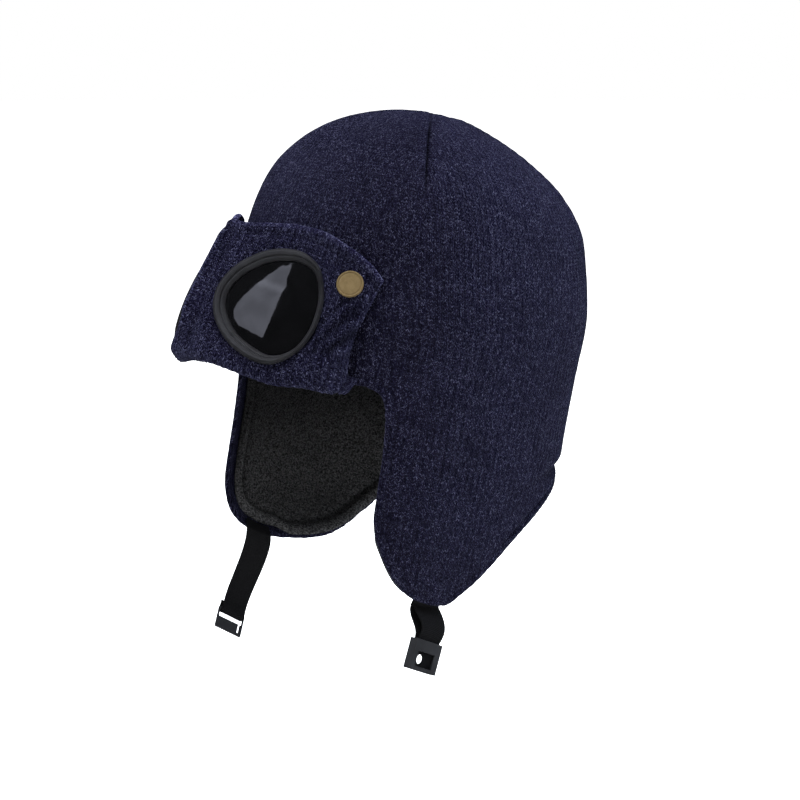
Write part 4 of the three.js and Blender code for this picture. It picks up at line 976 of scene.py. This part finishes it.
def panel_mesh():
    r = PANEL_T / 2
    # columns evenly spaced along the panel, with extra ones at its two ends
    kk = np.linspace(0, 8, 400)
    mid_row = []
    for qq in (0.45,):
        u, v, o = panel_surface(kk, qq)
        mid_row = panel_point(u, v, o, 1)
    arc = arc_along(mid_row, 0)
    length = arc[-1]
    n_half = int(round(length / RIB * 6))
    inner = np.linspace(0, length - r, n_half)
    s = np.concatenate([inner, length - r + r * np.array([math.sin(math.radians(t)) for t in (20, 40, 58, 75, 90)])])
    k_at = np.interp(s, arc, kk)
    cols, rib, edge_k, sides = [], [], [], []
    for side, order in ((-1, slice(None, 0, -1)), (1, slice(None))):
        m = panel_middle(k_at, side)
        if side > 0:
            m[0, :, 0] = 0
        cols.append(m[order])
        rib.append((side * s / RIB)[order])
        edge_k.append((length - s)[order])
        sides.append(np.full(len(s), side)[order])
    lines = np.concatenate(cols)
    rib, edge_k, sides = np.concatenate(rib), np.concatenate(edge_k), np.concatenate(sides)
    ks = np.concatenate([k_at[::-1][:-1], k_at])
    arc = arc_along(lines, 1)
    total = arc[:, -1]
    n_mid = 92
    base = r * EDGE_ARCS
    t = np.linspace(0, 1, n_mid)[1:-1]
    at = np.concatenate([np.broadcast_to(base, (len(lines), len(base))),
                         r + (total[:, None] - 2 * r) * t,
                         total[:, None] - base[::-1]], 1)
    mid = resample(lines, at)
    # smooth the middle surface a little across, so that its rounded middle flows
    for _ in range(2):
        mid[1:-1] = mid[1:-1] * 0.5 + (mid[:-2] + mid[2:]) * 0.25
    down = np.gradient(mid, axis=1)
    side_ways = np.gradient(mid, axis=0)
    normal = unit(np.cross(down, side_ways))
    e_row = np.minimum(at, total[:, None] - at)
    e_col = edge_k[:, None] + 0 * at
    prof = lambda e: np.sqrt(np.maximum(0, 1 - (1 - np.minimum(e / r, 1)) ** 2))
    body = prof(e_row) * prof(e_col)
    # place on the panel: u, v of each point, to lay folds and to cut the openings for the lenses
    local = mid * np.where(sides > 0, 1, -1)[:, None, None] ** np.array([1, 0, 0]) - PANEL_ORIGIN
    pu, pv = local @ panel_across, local @ panel_up
    leafy = smooth(0, 6, at) * (1 - smooth(total[:, None] * 0.52, total[:, None] * 0.62, at))
    R = rib[:, None] + 0 * at
    relief = RIB_RELIEF * rib_height(R) * smooth(0.8, 2.5, e_row) * smooth(0.8, 2.5, e_col) - 0.12
    relief = relief + 0.5 * noise3(mid, 30, 21) * leafy + 0.10 * noise3(mid, 2.6, 22)
    # a stitched line a little inside the top edge, and the soft roll above it
    relief = relief - 0.45 * bell(at - 6.5, 1.3) + 0.25 * bell(at - 3.2, 2.2)
    top_part = 1 - smooth(total[:, None] * 0.3, total[:, None] * 0.35, at)
    # painted highlight along the top edge, stronger on the right half, which faces away from the lamps, painted shade
    # in the stitched groove, and a painted highlight along the rear edges
    painted_shading = 1 + (0.9 + 1.2 * (sides < 0)[:, None]) * bell(at, 2.4) * top_part - 0.25 * bell(at - 6.5, 1.3) * top_part
    painted_shading = painted_shading + 0.3 * bell(e_col, 2.0)
    # slanting folds between the snap and the lower rear corner
    for (u0, v0), (u1, v1), depth, width in FOLDS:
        d = np.array([u1 - u0, v1 - v0])
        ln = np.linalg.norm(d)
        d = d / ln
        along = (pu - u0) * d[0] + (pv - v0) * d[1]
        off = (pu - u0) * d[1] - (pv - v0) * d[0]
        gate = smooth(-4, 5, along) * (1 - smooth(ln - 5, ln + 5, along)) * (leafy > 0.02)
        # painted shade in the grooves beside each fold
        painted_shading = painted_shading * (1 - 0.45 * gate * np.maximum(bell(off - 1.7 * width, 0.8 * width), bell(off + 1.7 * width, 0.8 * width)))
        relief = relief + gate * depth * (bell(off, width) - 0.6 * bell(off - 1.9 * width, width) - 0.6 * bell(off + 1.9 * width, width))
    # the cloth dips a little where the goggle rims press on it
    dist = np.hypot(pu - LENS_CENTRE[0], pv - LENS_CENTRE[1])
    ang = np.degrees(np.arctan2(pv - LENS_CENTRE[1], pu - LENS_CENTRE[0])) % 360
    gap = dist - outline_radius(ang)
    front_side = leafy > 0.3
    relief = relief - 0.25 * bell(gap, 2.5) * front_side + 0.35 * bell(gap - 5, 3.0) * front_side
    front = mid + normal * ((r + relief) * body)[..., None]
    back = mid - normal * ((r - 0.05) * body)[..., None]
    n, m = mid.shape[:2]
    hole = (gap < RIM_HOLE + 0.05 + narrowing(ang)) & front_side
    pts = np.concatenate([front.reshape(-1, 3), back.reshape(-1, 3)])
    index_front = np.arange(n * m).reshape(n, m)
    index_back = index_front + n * m
    # front and back share the points of the outer edge
    edge = np.zeros((n, m), bool)
    edge[0], edge[-1], edge[:, 0], edge[:, -1] = True, True, True, True
    index_back = np.where(edge, index_front, index_back)
    i, j = np.meshgrid(np.arange(n - 1), np.arange(m - 1), indexing="ij")
    i, j = i.ravel(), j.ravel()
    ci = np.stack([i, i, i + 1, i + 1], -1)
    cj = np.stack([j, j + 1, j + 1, j], -1)
    keep = ~hole[ci, cj].any(1)
    ci, cj = ci[keep], cj[keep]
    f_front = index_front[ci, cj]
    f_back = index_back[ci, cj][:, ::-1]
    # walls of the lens openings
    e = np.concatenate([np.stack([f_front[:, a], f_front[:, (a + 1) % 4]], -1) for a in range(4)])
    key = {(int(a), int(b)) for a, b in e}
    edge_set = set(index_front[edge].tolist())
    rim_edges = [(a, b) for a, b in key if (b, a) not in key and not (a in edge_set and b in edge_set)]
    walls = [(b, a, int(index_back.ravel()[a]), int(index_back.ravel()[b])) for a, b in rim_edges]
    # the points of an opening move onto its outline
    move = sorted({a for ab in rim_edges for a in ab})
    mi, mj = np.array(move) // m, np.array(move) % m
    want = outline_radius(ang[mi, mj]) + RIM_HOLE + narrowing(ang[mi, mj])
    du = np.cos(np.radians(ang[mi, mj])) * want + LENS_CENTRE[0] - pu[mi, mj]
    dv = np.sin(np.radians(ang[mi, mj])) * want + LENS_CENTRE[1] - pv[mi, mj]
    shift = du[:, None] * panel_across + dv[:, None] * panel_up
    shift = shift * np.stack([sides[mi], np.ones(len(mi)), np.ones(len(mi))], -1)
    pts[index_front[mi, mj]] += shift
    pts[index_back[mi, mj]] += shift
    walls_dir = walls
    faces = f_front.tolist() + f_back.tolist() + [list(w) for w in walls_dir]
    V = at / RIB
    uvs = np.concatenate([np.stack([R[ci, cj], V[ci, cj]], -1).reshape(-1, 2),
                          np.stack([R[ci, cj], V[ci, cj] + 0.37], -1)[:, ::-1].reshape(-1, 2)])
    wall_uv = np.array([[[R.ravel()[b], V.ravel()[b]], [R.ravel()[a], V.ravel()[a]], [R.ravel()[a], V.ravel()[a]], [R.ravel()[b], V.ravel()[b]]] for a, b in rim_edges]).reshape(-1, 2)
    uvs = np.concatenate([uvs, wall_uv])
    # points that no face uses any more are dropped
    used = np.unique([p for f in faces for p in f])
    new = np.full(len(pts), -1)
    new[used] = np.arange(len(used))
    faces = [[int(new[p]) for p in f] for f in faces]
    return make_mesh("goggle_panel_knit", pts[used], faces, knit_panel, uvs, shade=np.concatenate([painted_shading.ravel(), painted_shading.ravel()])[used])


wrapped = np.concatenate([RIM_OUTLINE[-2:] - [360, 0], RIM_OUTLINE, RIM_OUTLINE[:2] + [360, 0]])
outline_radius = through(wrapped[:, 0], wrapped[:, 1])
FOLDS = [
    ((95, 62), (83, 31), 1.7, 2.7),
    ((88, 63), (76, 27), 1.3, 2.4),
    ((99, 52), (90, 30), 1.0, 2.2),
]
panel = panel_mesh()


# ------------------------------------------------------------------ goggle rims and lenses
def outline_at(angles, out, up, side, scale=1.0, share=1.0):
    r = (outline_radius(np.mod(angles, 360)) + out + share * narrowing(angles)) * scale
    return panel_point(LENS_CENTRE[0] + r * np.cos(np.radians(angles)), LENS_CENTRE[1] + r * np.sin(np.radians(angles)), up, side)


def rounded(section, radius=0.35, steps=4):
    """A closed section with its corners rounded."""
    out = []
    n = len(section)
    s = np.array(section, float)
    for i in range(n):
        a, b, c = s[i - 1], s[i], s[(i + 1) % n]
        r = min(radius, 0.42 * np.linalg.norm(a - b), 0.42 * np.linalg.norm(c - b))
        p, q = b + (a - b) / np.linalg.norm(a - b) * r, b + (c - b) / np.linalg.norm(c - b) * r
        for t in np.linspace(0, 1, steps):
            out.append(p * (1 - t) ** 2 + b * 2 * t * (1 - t) + q * t * t)
    return np.array(out)


RIM_PROFILE = rounded([
    (0, 0.5), (0, 2.0), (-0.7, 3.2), (-1.7, 3.75), (-3.9, 3.3), (-4.2, 2.5), (-4.55, 2.3), (-4.9, 2.45), (-5.8, 2.15),
    (-6.6, 1.6), (-7.0, 1.1), (-7.0, -0.2), (-8.2, -0.2), (-8.2, -3.4), (-6.5, -3.4), (-6.5, 0.5)], 0.28, 4)
RIM_SHARE = np.interp(-RIM_PROFILE[:, 0], [0, 0.7, 1.7, 4.2, 5.6], [0, 0.06, 0.22, 0.72, 1.0])


def rim_mesh(side, name):
    n = 216
    ang = 360 * np.arange(n) / n
    m = len(RIM_PROFILE)
    pts = np.stack([outline_at(ang, o, h, side, 1, sh) for (o, h), sh in zip(RIM_PROFILE, RIM_SHARE)], 1)
    i, j = np.meshgrid(np.arange(n), np.arange(m), indexing="ij")
    i, j = i.ravel(), j.ravel()
    f = np.stack([i * m + j, ((i + 1) % n) * m + j, ((i + 1) % n) * m + (j + 1) % m, i * m + (j + 1) % m], -1)
    if side > 0:
        f = f[:, ::-1]
    return make_mesh(name, pts.reshape(-1, 3), f[:, ::-1], rim_plastic, sharp=40)


def lens_mesh(side, name):
    n = 216
    ang = 360 * np.arange(n) / n
    edge, low = 0.7, 0.1
    front = lambda f: edge + LENS_RISE * (1 - f * f)
    back = lambda f: max(low, front(f) - 1.8)
    levels = [(f, back(f)) for f in (0.06, 0.15, 0.3, 0.45, 0.6, 0.72, 0.8, 0.9, 0.985)] + [(1.0, low + 0.12), (1.0, edge - 0.1), (0.992, front(0.992) + 0.01)] \
        + [(f, front(f)) for f in (0.97, 0.93, 0.88, 0.82, 0.75, 0.67, 0.59, 0.51, 0.43, 0.35, 0.27, 0.19, 0.12, 0.06)]
    rows = np.stack([outline_at(ang, LENS_EDGE, h, side, f) for f, h in levels], 0)
    pts = np.concatenate([rows.reshape(-1, 3), [panel_point(*LENS_CENTRE, back(0), side), panel_point(*LENS_CENTRE, front(0), side)]])
    f, _, _ = grid_faces(0, len(levels), n, wrap=True)
    i = np.arange(n)
    last = (len(levels) - 1) * n
    a = len(pts) - 2
    faces = f.tolist() + np.stack([np.full(n, a), i, (i + 1) % n], -1).tolist() + np.stack([np.full(n, a + 1), last + (i + 1) % n, last + i], -1).tolist()
    if side > 0:
        faces = [q[::-1] for q in faces]
    return make_mesh(name, pts, faces, lens_black, sharp=50)


rims = {s: rim_mesh(s, f"goggle_rim_{n}_moulded") for s, n in ((1, "left"), (-1, "right"))}
lenses = {s: lens_mesh(s, f"goggle_lens_{n}_domed") for s, n in ((1, "left"), (-1, "right"))}


# ------------------------------------------------------------------ snap caps
def snap_mesh(side, name, node):
    co = np.array([v.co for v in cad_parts[node].data.vertices], float) / MM
    co = np.unique(co.round(4), axis=0)
    centre = co.mean(0)
    w, v = np.linalg.eigh(np.cov((co - centre).T))
    axis = v[:, 0]
    out = panel_out * np.array([side, 1, 1])
    if axis @ out < 0:
        axis = -axis
    h = (co - centre) @ axis
    base = centre + axis * (h.min() - 1.0)
    ex = unit(np.cross(axis, np.array([0, 0, 1.0])))
    ey = np.cross(axis, ex)
    profile = [(0.001, 1.0), (6.8, 1.0), (7.1, 1.04), (7.38, 1.18), (7.5, 1.4), (7.52, 1.75), (7.42, 2.12), (7.2, 2.34), (6.95, 2.42),
               (6.68, 2.38), (6.5, 2.24), (6.38, 2.10), (6.22, 2.02), (6.05, 2.02), (5.92, 2.09), (5.78, 2.17), (5.4, 2.20), (4.4, 2.15), (3.2, 2.11), (1.8, 2.09), (0.001, 2.08)]
    n = 72
    t = 2 * np.pi * np.arange(n) / n
    prof = np.array(profile)[1:-1]
    ring = np.stack([base + r * (np.cos(t)[:, None] * ex + np.sin(t)[:, None] * ey) + hh * axis for r, hh in prof], 0)
    pts = np.concatenate([ring.reshape(-1, 3), [base + axis * profile[0][1], base + axis * profile[-1][1]]])
    f, _, _ = grid_faces(0, len(prof), n, wrap=True)
    i = np.arange(n)
    last = (len(prof) - 1) * n
    a = len(pts) - 2
    faces = f.tolist() + np.stack([np.full(n, a), i, (i + 1) % n], -1).tolist() + np.stack([np.full(n, a + 1), last + (i + 1) % n, last + i], -1).tolist()
    return make_mesh(name, pts, faces, brass, sharp=45)


snaps = {s: snap_mesh(s, f"snap_cap_{n}_pressed", f"snap_cap_{n}") for s, n in ((1, "left"), (-1, "right"))}


# ------------------------------------------------------------------ webbing
def spot_from(centre, across, down):
    x = unit(np.array(across, float))
    d = np.array(down, float)
    y = unit(-d + x * (x @ d))
    return {"c": np.array(centre, float), "x": x, "y": y, "z": np.cross(x, y)}


def in_spot(s, x, y, z):
    x, y, z = np.broadcast_arrays(np.asarray(x, float), np.asarray(y, float), np.asarray(z, float))
    return s["c"] + x[..., None] * s["x"] + y[..., None] * s["y"] + z[..., None] * s["z"]


socket_spot = spot_from((83.8, -43.7, -295), (-0.01, 0.91, -0.415), (0.123, -0.415, -0.902))
plug_spot = spot_from((-55.1, -86.4, -300.9), (0.141, 0.842, -0.52), (0.45, -0.522, -0.724))
SOCKET_BAR_Y, LOOP_RADIUS = SOCKET_LENGTH / 2 - 3.2, 0.6 + 0.42 + WEB_T / 2
PLUG_BAR_Y, WRAP_RADIUS = PLUG_LENGTH / 2 - 0.9, 2.0
WEB_DEPTH = KNIT_T + 0.3 + WEB_GAP + WEB_T / 2


def web_start(side, above_, depth):
    out = []
    for inset in (LINING_INSET - 0.8, 1.2, -2.4):
        a_, d_ = rim_below(above_, side, inset)
        out.append(side_point(side, a_, d_) - side_out(side, a_, d_) * depth)
    return out


def bezier(a, b, c, d, n):
    t = np.linspace(0, 1, n + 1)[:, None]
    return [a * (1 - x) ** 3 + b * 3 * (1 - x) ** 2 * x + c * 3 * (1 - x) * x * x + d * x ** 3 for x in t]


def set_length(v, n):
    return unit(v) * n


def left_line(c):
    x = c * WEB_WIDTH / 2
    ab = 72.6 + (82.2 - 72.6) * (c + 1) / 2
    inner, outer = web_start(1, ab, WEB_DEPTH + WEB_T + 0.5), web_start(1, ab, WEB_DEPTH)
    topy = SOCKET_LENGTH / 2
    turn = [in_spot(socket_spot, x, SOCKET_BAR_Y + LOOP_RADIUS * math.sin(math.radians(a)), LOOP_RADIUS * math.cos(math.radians(a))) for a in range(180, 361, 12)]
    back = bezier(inner[2], inner[2] + set_length(inner[2] - inner[1], 8), in_spot(socket_spot, x, topy + 8, -LOOP_RADIUS - 0.6), in_spot(socket_spot, x, topy + 1, -LOOP_RADIUS), 20)
    frontp = bezier(in_spot(socket_spot, x, topy + 1, LOOP_RADIUS), in_spot(socket_spot, x + 1.6, topy + 9, LOOP_RADIUS + 2.6),
                    outer[2] + set_length(outer[2] - outer[1], 8) + np.array([5.2, 3.0, 0]), outer[2], 20)
    return np.array([inner[0], inner[1], *back, *turn, *frontp, outer[1], outer[0]])


def right_line(c):
    x = c * WEB_WIDTH / 2
    start = web_start(-1, 63.6 + (70.2 - 63.6) * (c + 1) / 2, WEB_DEPTH)
    topy = PLUG_LENGTH / 2
    turn = [in_spot(plug_spot, x, PLUG_BAR_Y + WRAP_RADIUS * math.sin(math.radians(a)), WRAP_RADIUS * math.cos(math.radians(a))) for a in range(0, -181, -12)]
    tail = [in_spot(plug_spot, x, PLUG_BAR_Y + y, -WRAP_RADIUS + y * 0.12) for y in (3, 6)]
    path = bezier(start[2], start[2] + np.array([4, -1, -12]), in_spot(plug_spot, x, topy + 18, WRAP_RADIUS - 1), in_spot(plug_spot, x, topy + 1, WRAP_RADIUS), 26)
    return np.array([start[0], start[1], *path, *turn, *tail])


def web_mesh(line, name, step=0.48):
    r = WEB_T / 2
    cs = np.concatenate([[-1, -0.985, -0.955, -0.92], np.linspace(-0.88, 0.88, 15), [0.92, 0.955, 0.985, 1]])
    lines = np.stack([line(c) for c in cs])
    total = arc_along(lines, 1)[:, -1]
    n = int(round(total.mean() / step))
    at = np.concatenate([np.array([0, 0.08, 0.25, 0.5])[None] + 0 * total[:, None], 0.5 + (total[:, None] - 1.0) * np.linspace(0, 1, n)[None, 1:-1],
                         total[:, None] - np.array([0.5, 0.25, 0.08, 0])[None]], 1)
    mid = resample(lines, at)
    normal = unit(np.cross(np.gradient(mid, axis=1), np.gradient(mid, axis=0)))
    prof = lambda e: np.sqrt(np.maximum(0, 1 - (1 - np.minimum(e / r, 1)) ** 2))
    e_col = (1 - np.abs(cs)) * WEB_WIDTH / 2
    body = prof(np.minimum(at, total[:, None] - at)) * prof(e_col)[:, None]
    ridge = 0.05 * np.cos(2 * np.pi * at / 1.9) * (np.abs(cs) < 0.9)[:, None]
    front, back = mid + normal * ((r + ridge) * body)[..., None], mid - normal * ((r + ridge) * body)[..., None]
    a, b = mid.shape[:2]
    fi = np.arange(a * b).reshape(a, b)
    edge = np.zeros((a, b), bool)
    edge[0], edge[-1], edge[:, 0], edge[:, -1] = True, True, True, True
    bi = np.where(edge, fi, fi + a * b)
    i, j = np.meshgrid(np.arange(a - 1), np.arange(b - 1), indexing="ij")
    i, j = i.ravel(), j.ravel()
    ci, cj = np.stack([i, i, i + 1, i + 1], -1), np.stack([j, j + 1, j + 1, j], -1)
    faces = np.concatenate([fi[ci, cj], bi[ci, cj][:, ::-1]])
    xs = np.broadcast_to((cs * WEB_WIDTH / 2)[:, None], at.shape)
    uvs = np.stack([xs[ci, cj], at[ci, cj]], -1)
    uvs = np.concatenate([uvs, uvs[:, ::-1]]).reshape(-1, 2)
    pts = np.concatenate([front.reshape(-1, 3), back.reshape(-1, 3)])
    used = np.unique(faces)
    new = np.full(len(pts), -1)
    new[used] = np.arange(len(used))
    return make_mesh(name, pts[used], new[faces], webbing, uvs), float(total.mean())


strap_left, long_left = web_mesh(left_line, "strap_left_webbing")
strap_right, long_right = web_mesh(right_line, "strap_right_webbing")

# ------------------------------------------------------------------ clasp: the part's own bodies, edges eased
def darken_recess(mat, spot, half_x, half_y, low, high):
    """Less light reaches the inside of the box than its outer faces."""
    m = Nodes.__new__(Nodes)
    m.mat, m.tree = mat, mat.node_tree
    m.bsdf = next(n for n in m.tree.nodes if n.type == "BSDF_PRINCIPLED")
    base = m.bsdf.inputs["Base Color"].links[0].from_socket
    place = m.place()
    along = {}
    for key in "xyz":
        axis = spot[key]
        along[key] = m.math("SUBTRACT", m.dot(place, axis), float(axis @ spot["c"]) * MM)
    inside = m.math("MULTIPLY", m.ramp(m.math("ABSOLUTE", along["x"]), (half_x - 0.4) * MM, half_x * MM, 1.0, 0.0),
                    m.ramp(m.math("ABSOLUTE", along["y"]), (half_y - 0.4) * MM, half_y * MM, 1.0, 0.0))
    inside = m.math("MULTIPLY", inside, m.ramp(along["z"], low * MM, high * MM, 1.0, 0.0))
    k = m.math("SUBTRACT", 1.0, m.math("MULTIPLY", inside, 0.8))
    m.put(m.bsdf.inputs["Base Color"], m.mix(1.0, base, m.combine(k, k, k), "MULTIPLY"))


darken_recess(socket_plastic, socket_spot, 9.4, 8.3, 1.6, 2.7)
for node in ("clasp_socket", "clasp_plug"):
    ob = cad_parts[node]
    ob.data.materials.clear()
    ob.data.materials.append(socket_plastic if node == "clasp_socket" else clasp_plastic)
    weld = ob.modifiers.new("weld", "WELD")
    weld.merge_threshold = 0.00001
    dec = ob.modifiers.new("flat", "DECIMATE")
    dec.decimate_type = "DISSOLVE"
    dec.angle_limit = math.radians(1.5)
    bev = ob.modifiers.new("edges", "BEVEL")
    bev.width, bev.segments, bev.limit_method, bev.angle_limit = 0.00032, 2, "ANGLE", math.radians(35)
    bev.use_clamp_overlap = True

# ------------------------------------------------------------------ what each piece stands for
for ob, node, slot in (
        (crown, "crown_shell", "knit_outer"), (lining, "lining", "fleece_lining"), (panel, "goggle_flap", "knit_panel"),
        (rims[1], "goggle_rim_left", "rim_plastic"), (rims[-1], "goggle_rim_right", "rim_plastic"),
        (lenses[1], "goggle_lens_left", "lens_plastic"), (lenses[-1], "goggle_lens_right", "lens_plastic"),
        (snaps[1], "snap_cap_left", "snap_brass"), (snaps[-1], "snap_cap_right", "snap_brass"),
        (strap_left, "strap_left", "webbing"), (strap_right, "strap_right", "webbing")):
    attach(ob, "root")
    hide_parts(node)

# ------------------------------------------------------------------ floor, light
def flat_piece(name, corners, material):
    me = bpy.data.meshes.new(name)
    me.from_pydata(corners, [], [list(range(len(corners)))])
    me.materials.append(material)
    ob = bpy.data.objects.new(name, me)
    bpy.context.scene.collection.objects.link(ob)
    return ob


def floor_material():
    m = Nodes("pale_floor")
    k = m.noise(m.place(), 3.0, 2.0, 0.5)
    m.set(Base_Color=m.mix(m.ramp(k, 0.3, 0.7), (0.86, 0.86, 0.865), (0.88, 0.88, 0.88)), Roughness=0.9)
    m.bsdf.inputs["Specular IOR Level"].default_value = 0.0
    m.bsdf.inputs["Emission Color"].default_value = (1, 1, 1, 1)
    x, y, _ = m.separate(m.place())
    away = m.math("SQRT", m.math("ADD", m.math("MULTIPLY", x, x), m.math("MULTIPLY", y, y)))
    m.put(m.bsdf.inputs["Emission Strength"], m.ramp(away, 0.9, 2.2, 0.72, 1.1))
    return m.mat


FLOOR_Z = -0.42
floor = flat_piece("floor", [(12 * math.cos(t), 12 * math.sin(t), FLOOR_Z) for t in np.linspace(0, 2 * math.pi, 65)[:-1]], floor_material())
floor.visible_glossy = False

world = bpy.data.worlds.new("studio")
bpy.context.scene.world = world
world.use_nodes = True
nt = world.node_tree
nt.nodes.clear()
w_out = nt.nodes.new("ShaderNodeOutputWorld")
bg = {}
for key, colour, strength in (("seen", (1, 1, 1, 1), 1.0), ("lights", (0.93, 0.96, 1.0, 1), 0.24), ("mirror", (0.8, 0.85, 1.0, 1), 0.05)):
    bg[key] = nt.nodes.new("ShaderNodeBackground")
    bg[key].inputs[0].default_value, bg[key].inputs[1].default_value = colour, strength
path = nt.nodes.new("ShaderNodeLightPath")
mix1, mix2 = nt.nodes.new("ShaderNodeMixShader"), nt.nodes.new("ShaderNodeMixShader")
nt.links.new(path.outputs["Is Glossy Ray"], mix1.inputs[0])
nt.links.new(bg["lights"].outputs[0], mix1.inputs[1])
nt.links.new(bg["mirror"].outputs[0], mix1.inputs[2])
nt.links.new(path.outputs["Is Camera Ray"], mix2.inputs[0])
nt.links.new(mix1.outputs[0], mix2.inputs[1])
nt.links.new(bg["seen"].outputs[0], mix2.inputs[2])
nt.links.new(mix2.outputs[0], w_out.inputs[0])


def softbox(name, place, at, size, power, colour=(1, 1, 1), glossy=False):
    data = bpy.data.lights.new(name, "AREA")
    data.shape, data.size, data.size_y, data.energy, data.color = "RECTANGLE", size[0], size[1], power, colour
    ob = bpy.data.objects.new(name, data)
    bpy.context.scene.collection.objects.link(ob)
    ob.location = place
    ob.rotation_mode = "QUATERNION"
    ob.rotation_quaternion = (Vector(at) - Vector(place)).to_track_quat("-Z", "Y")
    ob.visible_glossy = glossy
    ob.visible_camera = False
    return ob


def around(azimuth, elevation, distance, centre=(0, 0, -0.12)):
    a, e = math.radians(azimuth), math.radians(elevation)
    return (centre[0] + distance * math.sin(a) * math.cos(e), centre[1] - distance * math.cos(a) * math.cos(e), centre[2] + distance * math.sin(e))


softbox("key", around(22, 45, 1.7), (0, 0, -0.10), (1.0, 1.2), 18, (0.97, 0.98, 1.0))
softbox("top", around(60, 82, 1.5), (0, 0, -0.05), (1.0, 1.0), 58, (0.95, 0.97, 1.0))
softbox("rim_right", around(158, 24, 1.6), (0, 0, -0.14), (0.7, 1.4), 38, (0.78, 0.86, 1.0))
softbox("rim_left", around(-50, 25, 1.6), (0, -0.05, -0.14), (0.7, 1.4), 8, (0.92, 0.95, 1.0))
softbox("fill", around(92, -4, 2.0), (0, 0, -0.20), (1.4, 0.9), 5)


def reflected_card():
    """A large pale panel up and to the left, which only the glossy surfaces mirror."""
    seen_from = Vector(panel_point(LENS_CENTRE[0], LENS_CENTRE[1], 3.0, 1).tolist()) * MM
    look = lambda az, el: Vector((math.sin(math.radians(az)) * math.cos(math.radians(el)), -math.cos(math.radians(az)) * math.cos(math.radians(el)), math.sin(math.radians(el))))
    middle = look(22, 43)
    corners = []
    for az, el in ((12.7, 67.6), (9.6, 63.2), (6.0, 57.8), (3.6, 49.8), (1.8, 41), (0.9, 34.2), (1.0, 29.2), (3.2, 25), (7, 22.6), (14.5, 21.6), (19.5, 21.6),
                   (20.9, 22.4), (22.2, 24.2), (28.8, 31), (33.4, 38.3), (35.2, 44), (33.5, 51.7), (27.5, 60.5), (18, 66.5)):
        d = look(az, el)
        corners.append(tuple(seen_from + d * (1.6 / d.dot(middle))))
    m = Nodes("pale_panel")
    m.tree.nodes.remove(m.bsdf)
    e = m.tree.nodes.new("ShaderNodeEmission")
    place = m.place()
    streak_a, streak_b = (seen_from + look(az, el) * (1.6 / look(az, el).dot(middle)) for az, el in ((0.8, 54.7), (35.8, 47.1)))
    across_streak = (streak_b - streak_a).cross(middle).normalized()
    off = m.math("SUBTRACT", m.separate(m.vec("MULTIPLY", place, tuple(across_streak)))[0], 0.0)
    parts = m.separate(m.vec("MULTIPLY", place, tuple(across_streak)))
    off = m.math("SUBTRACT", m.math("ADD", m.math("ADD", parts[0], parts[1]), parts[2]), across_streak.dot(streak_a))
    streak = m.ramp(m.math("ABSOLUTE", off), 0.0, 0.10, 1.0, 0.0)
    cloud = m.noise(place, 2.6, 2.0, 0.5)
    m.put(e.inputs[0], (0.80, 0.83, 1.0, 1))
    m.put(e.inputs[1], m.math("ADD", m.ramp(cloud, 0.3, 0.7, 1.9, 2.5), m.math("MULTIPLY", streak, 1.1)))
    m.tree.links.new(e.outputs[0], m.out.inputs[0])
    ob = flat_piece("pale_panel", corners, m.mat)
    ob.visible_camera = ob.visible_diffuse = ob.visible_shadow = ob.visible_transmission = False
    return ob


reflected_card()

bpy.context.scene.view_settings.view_transform = "Standard"
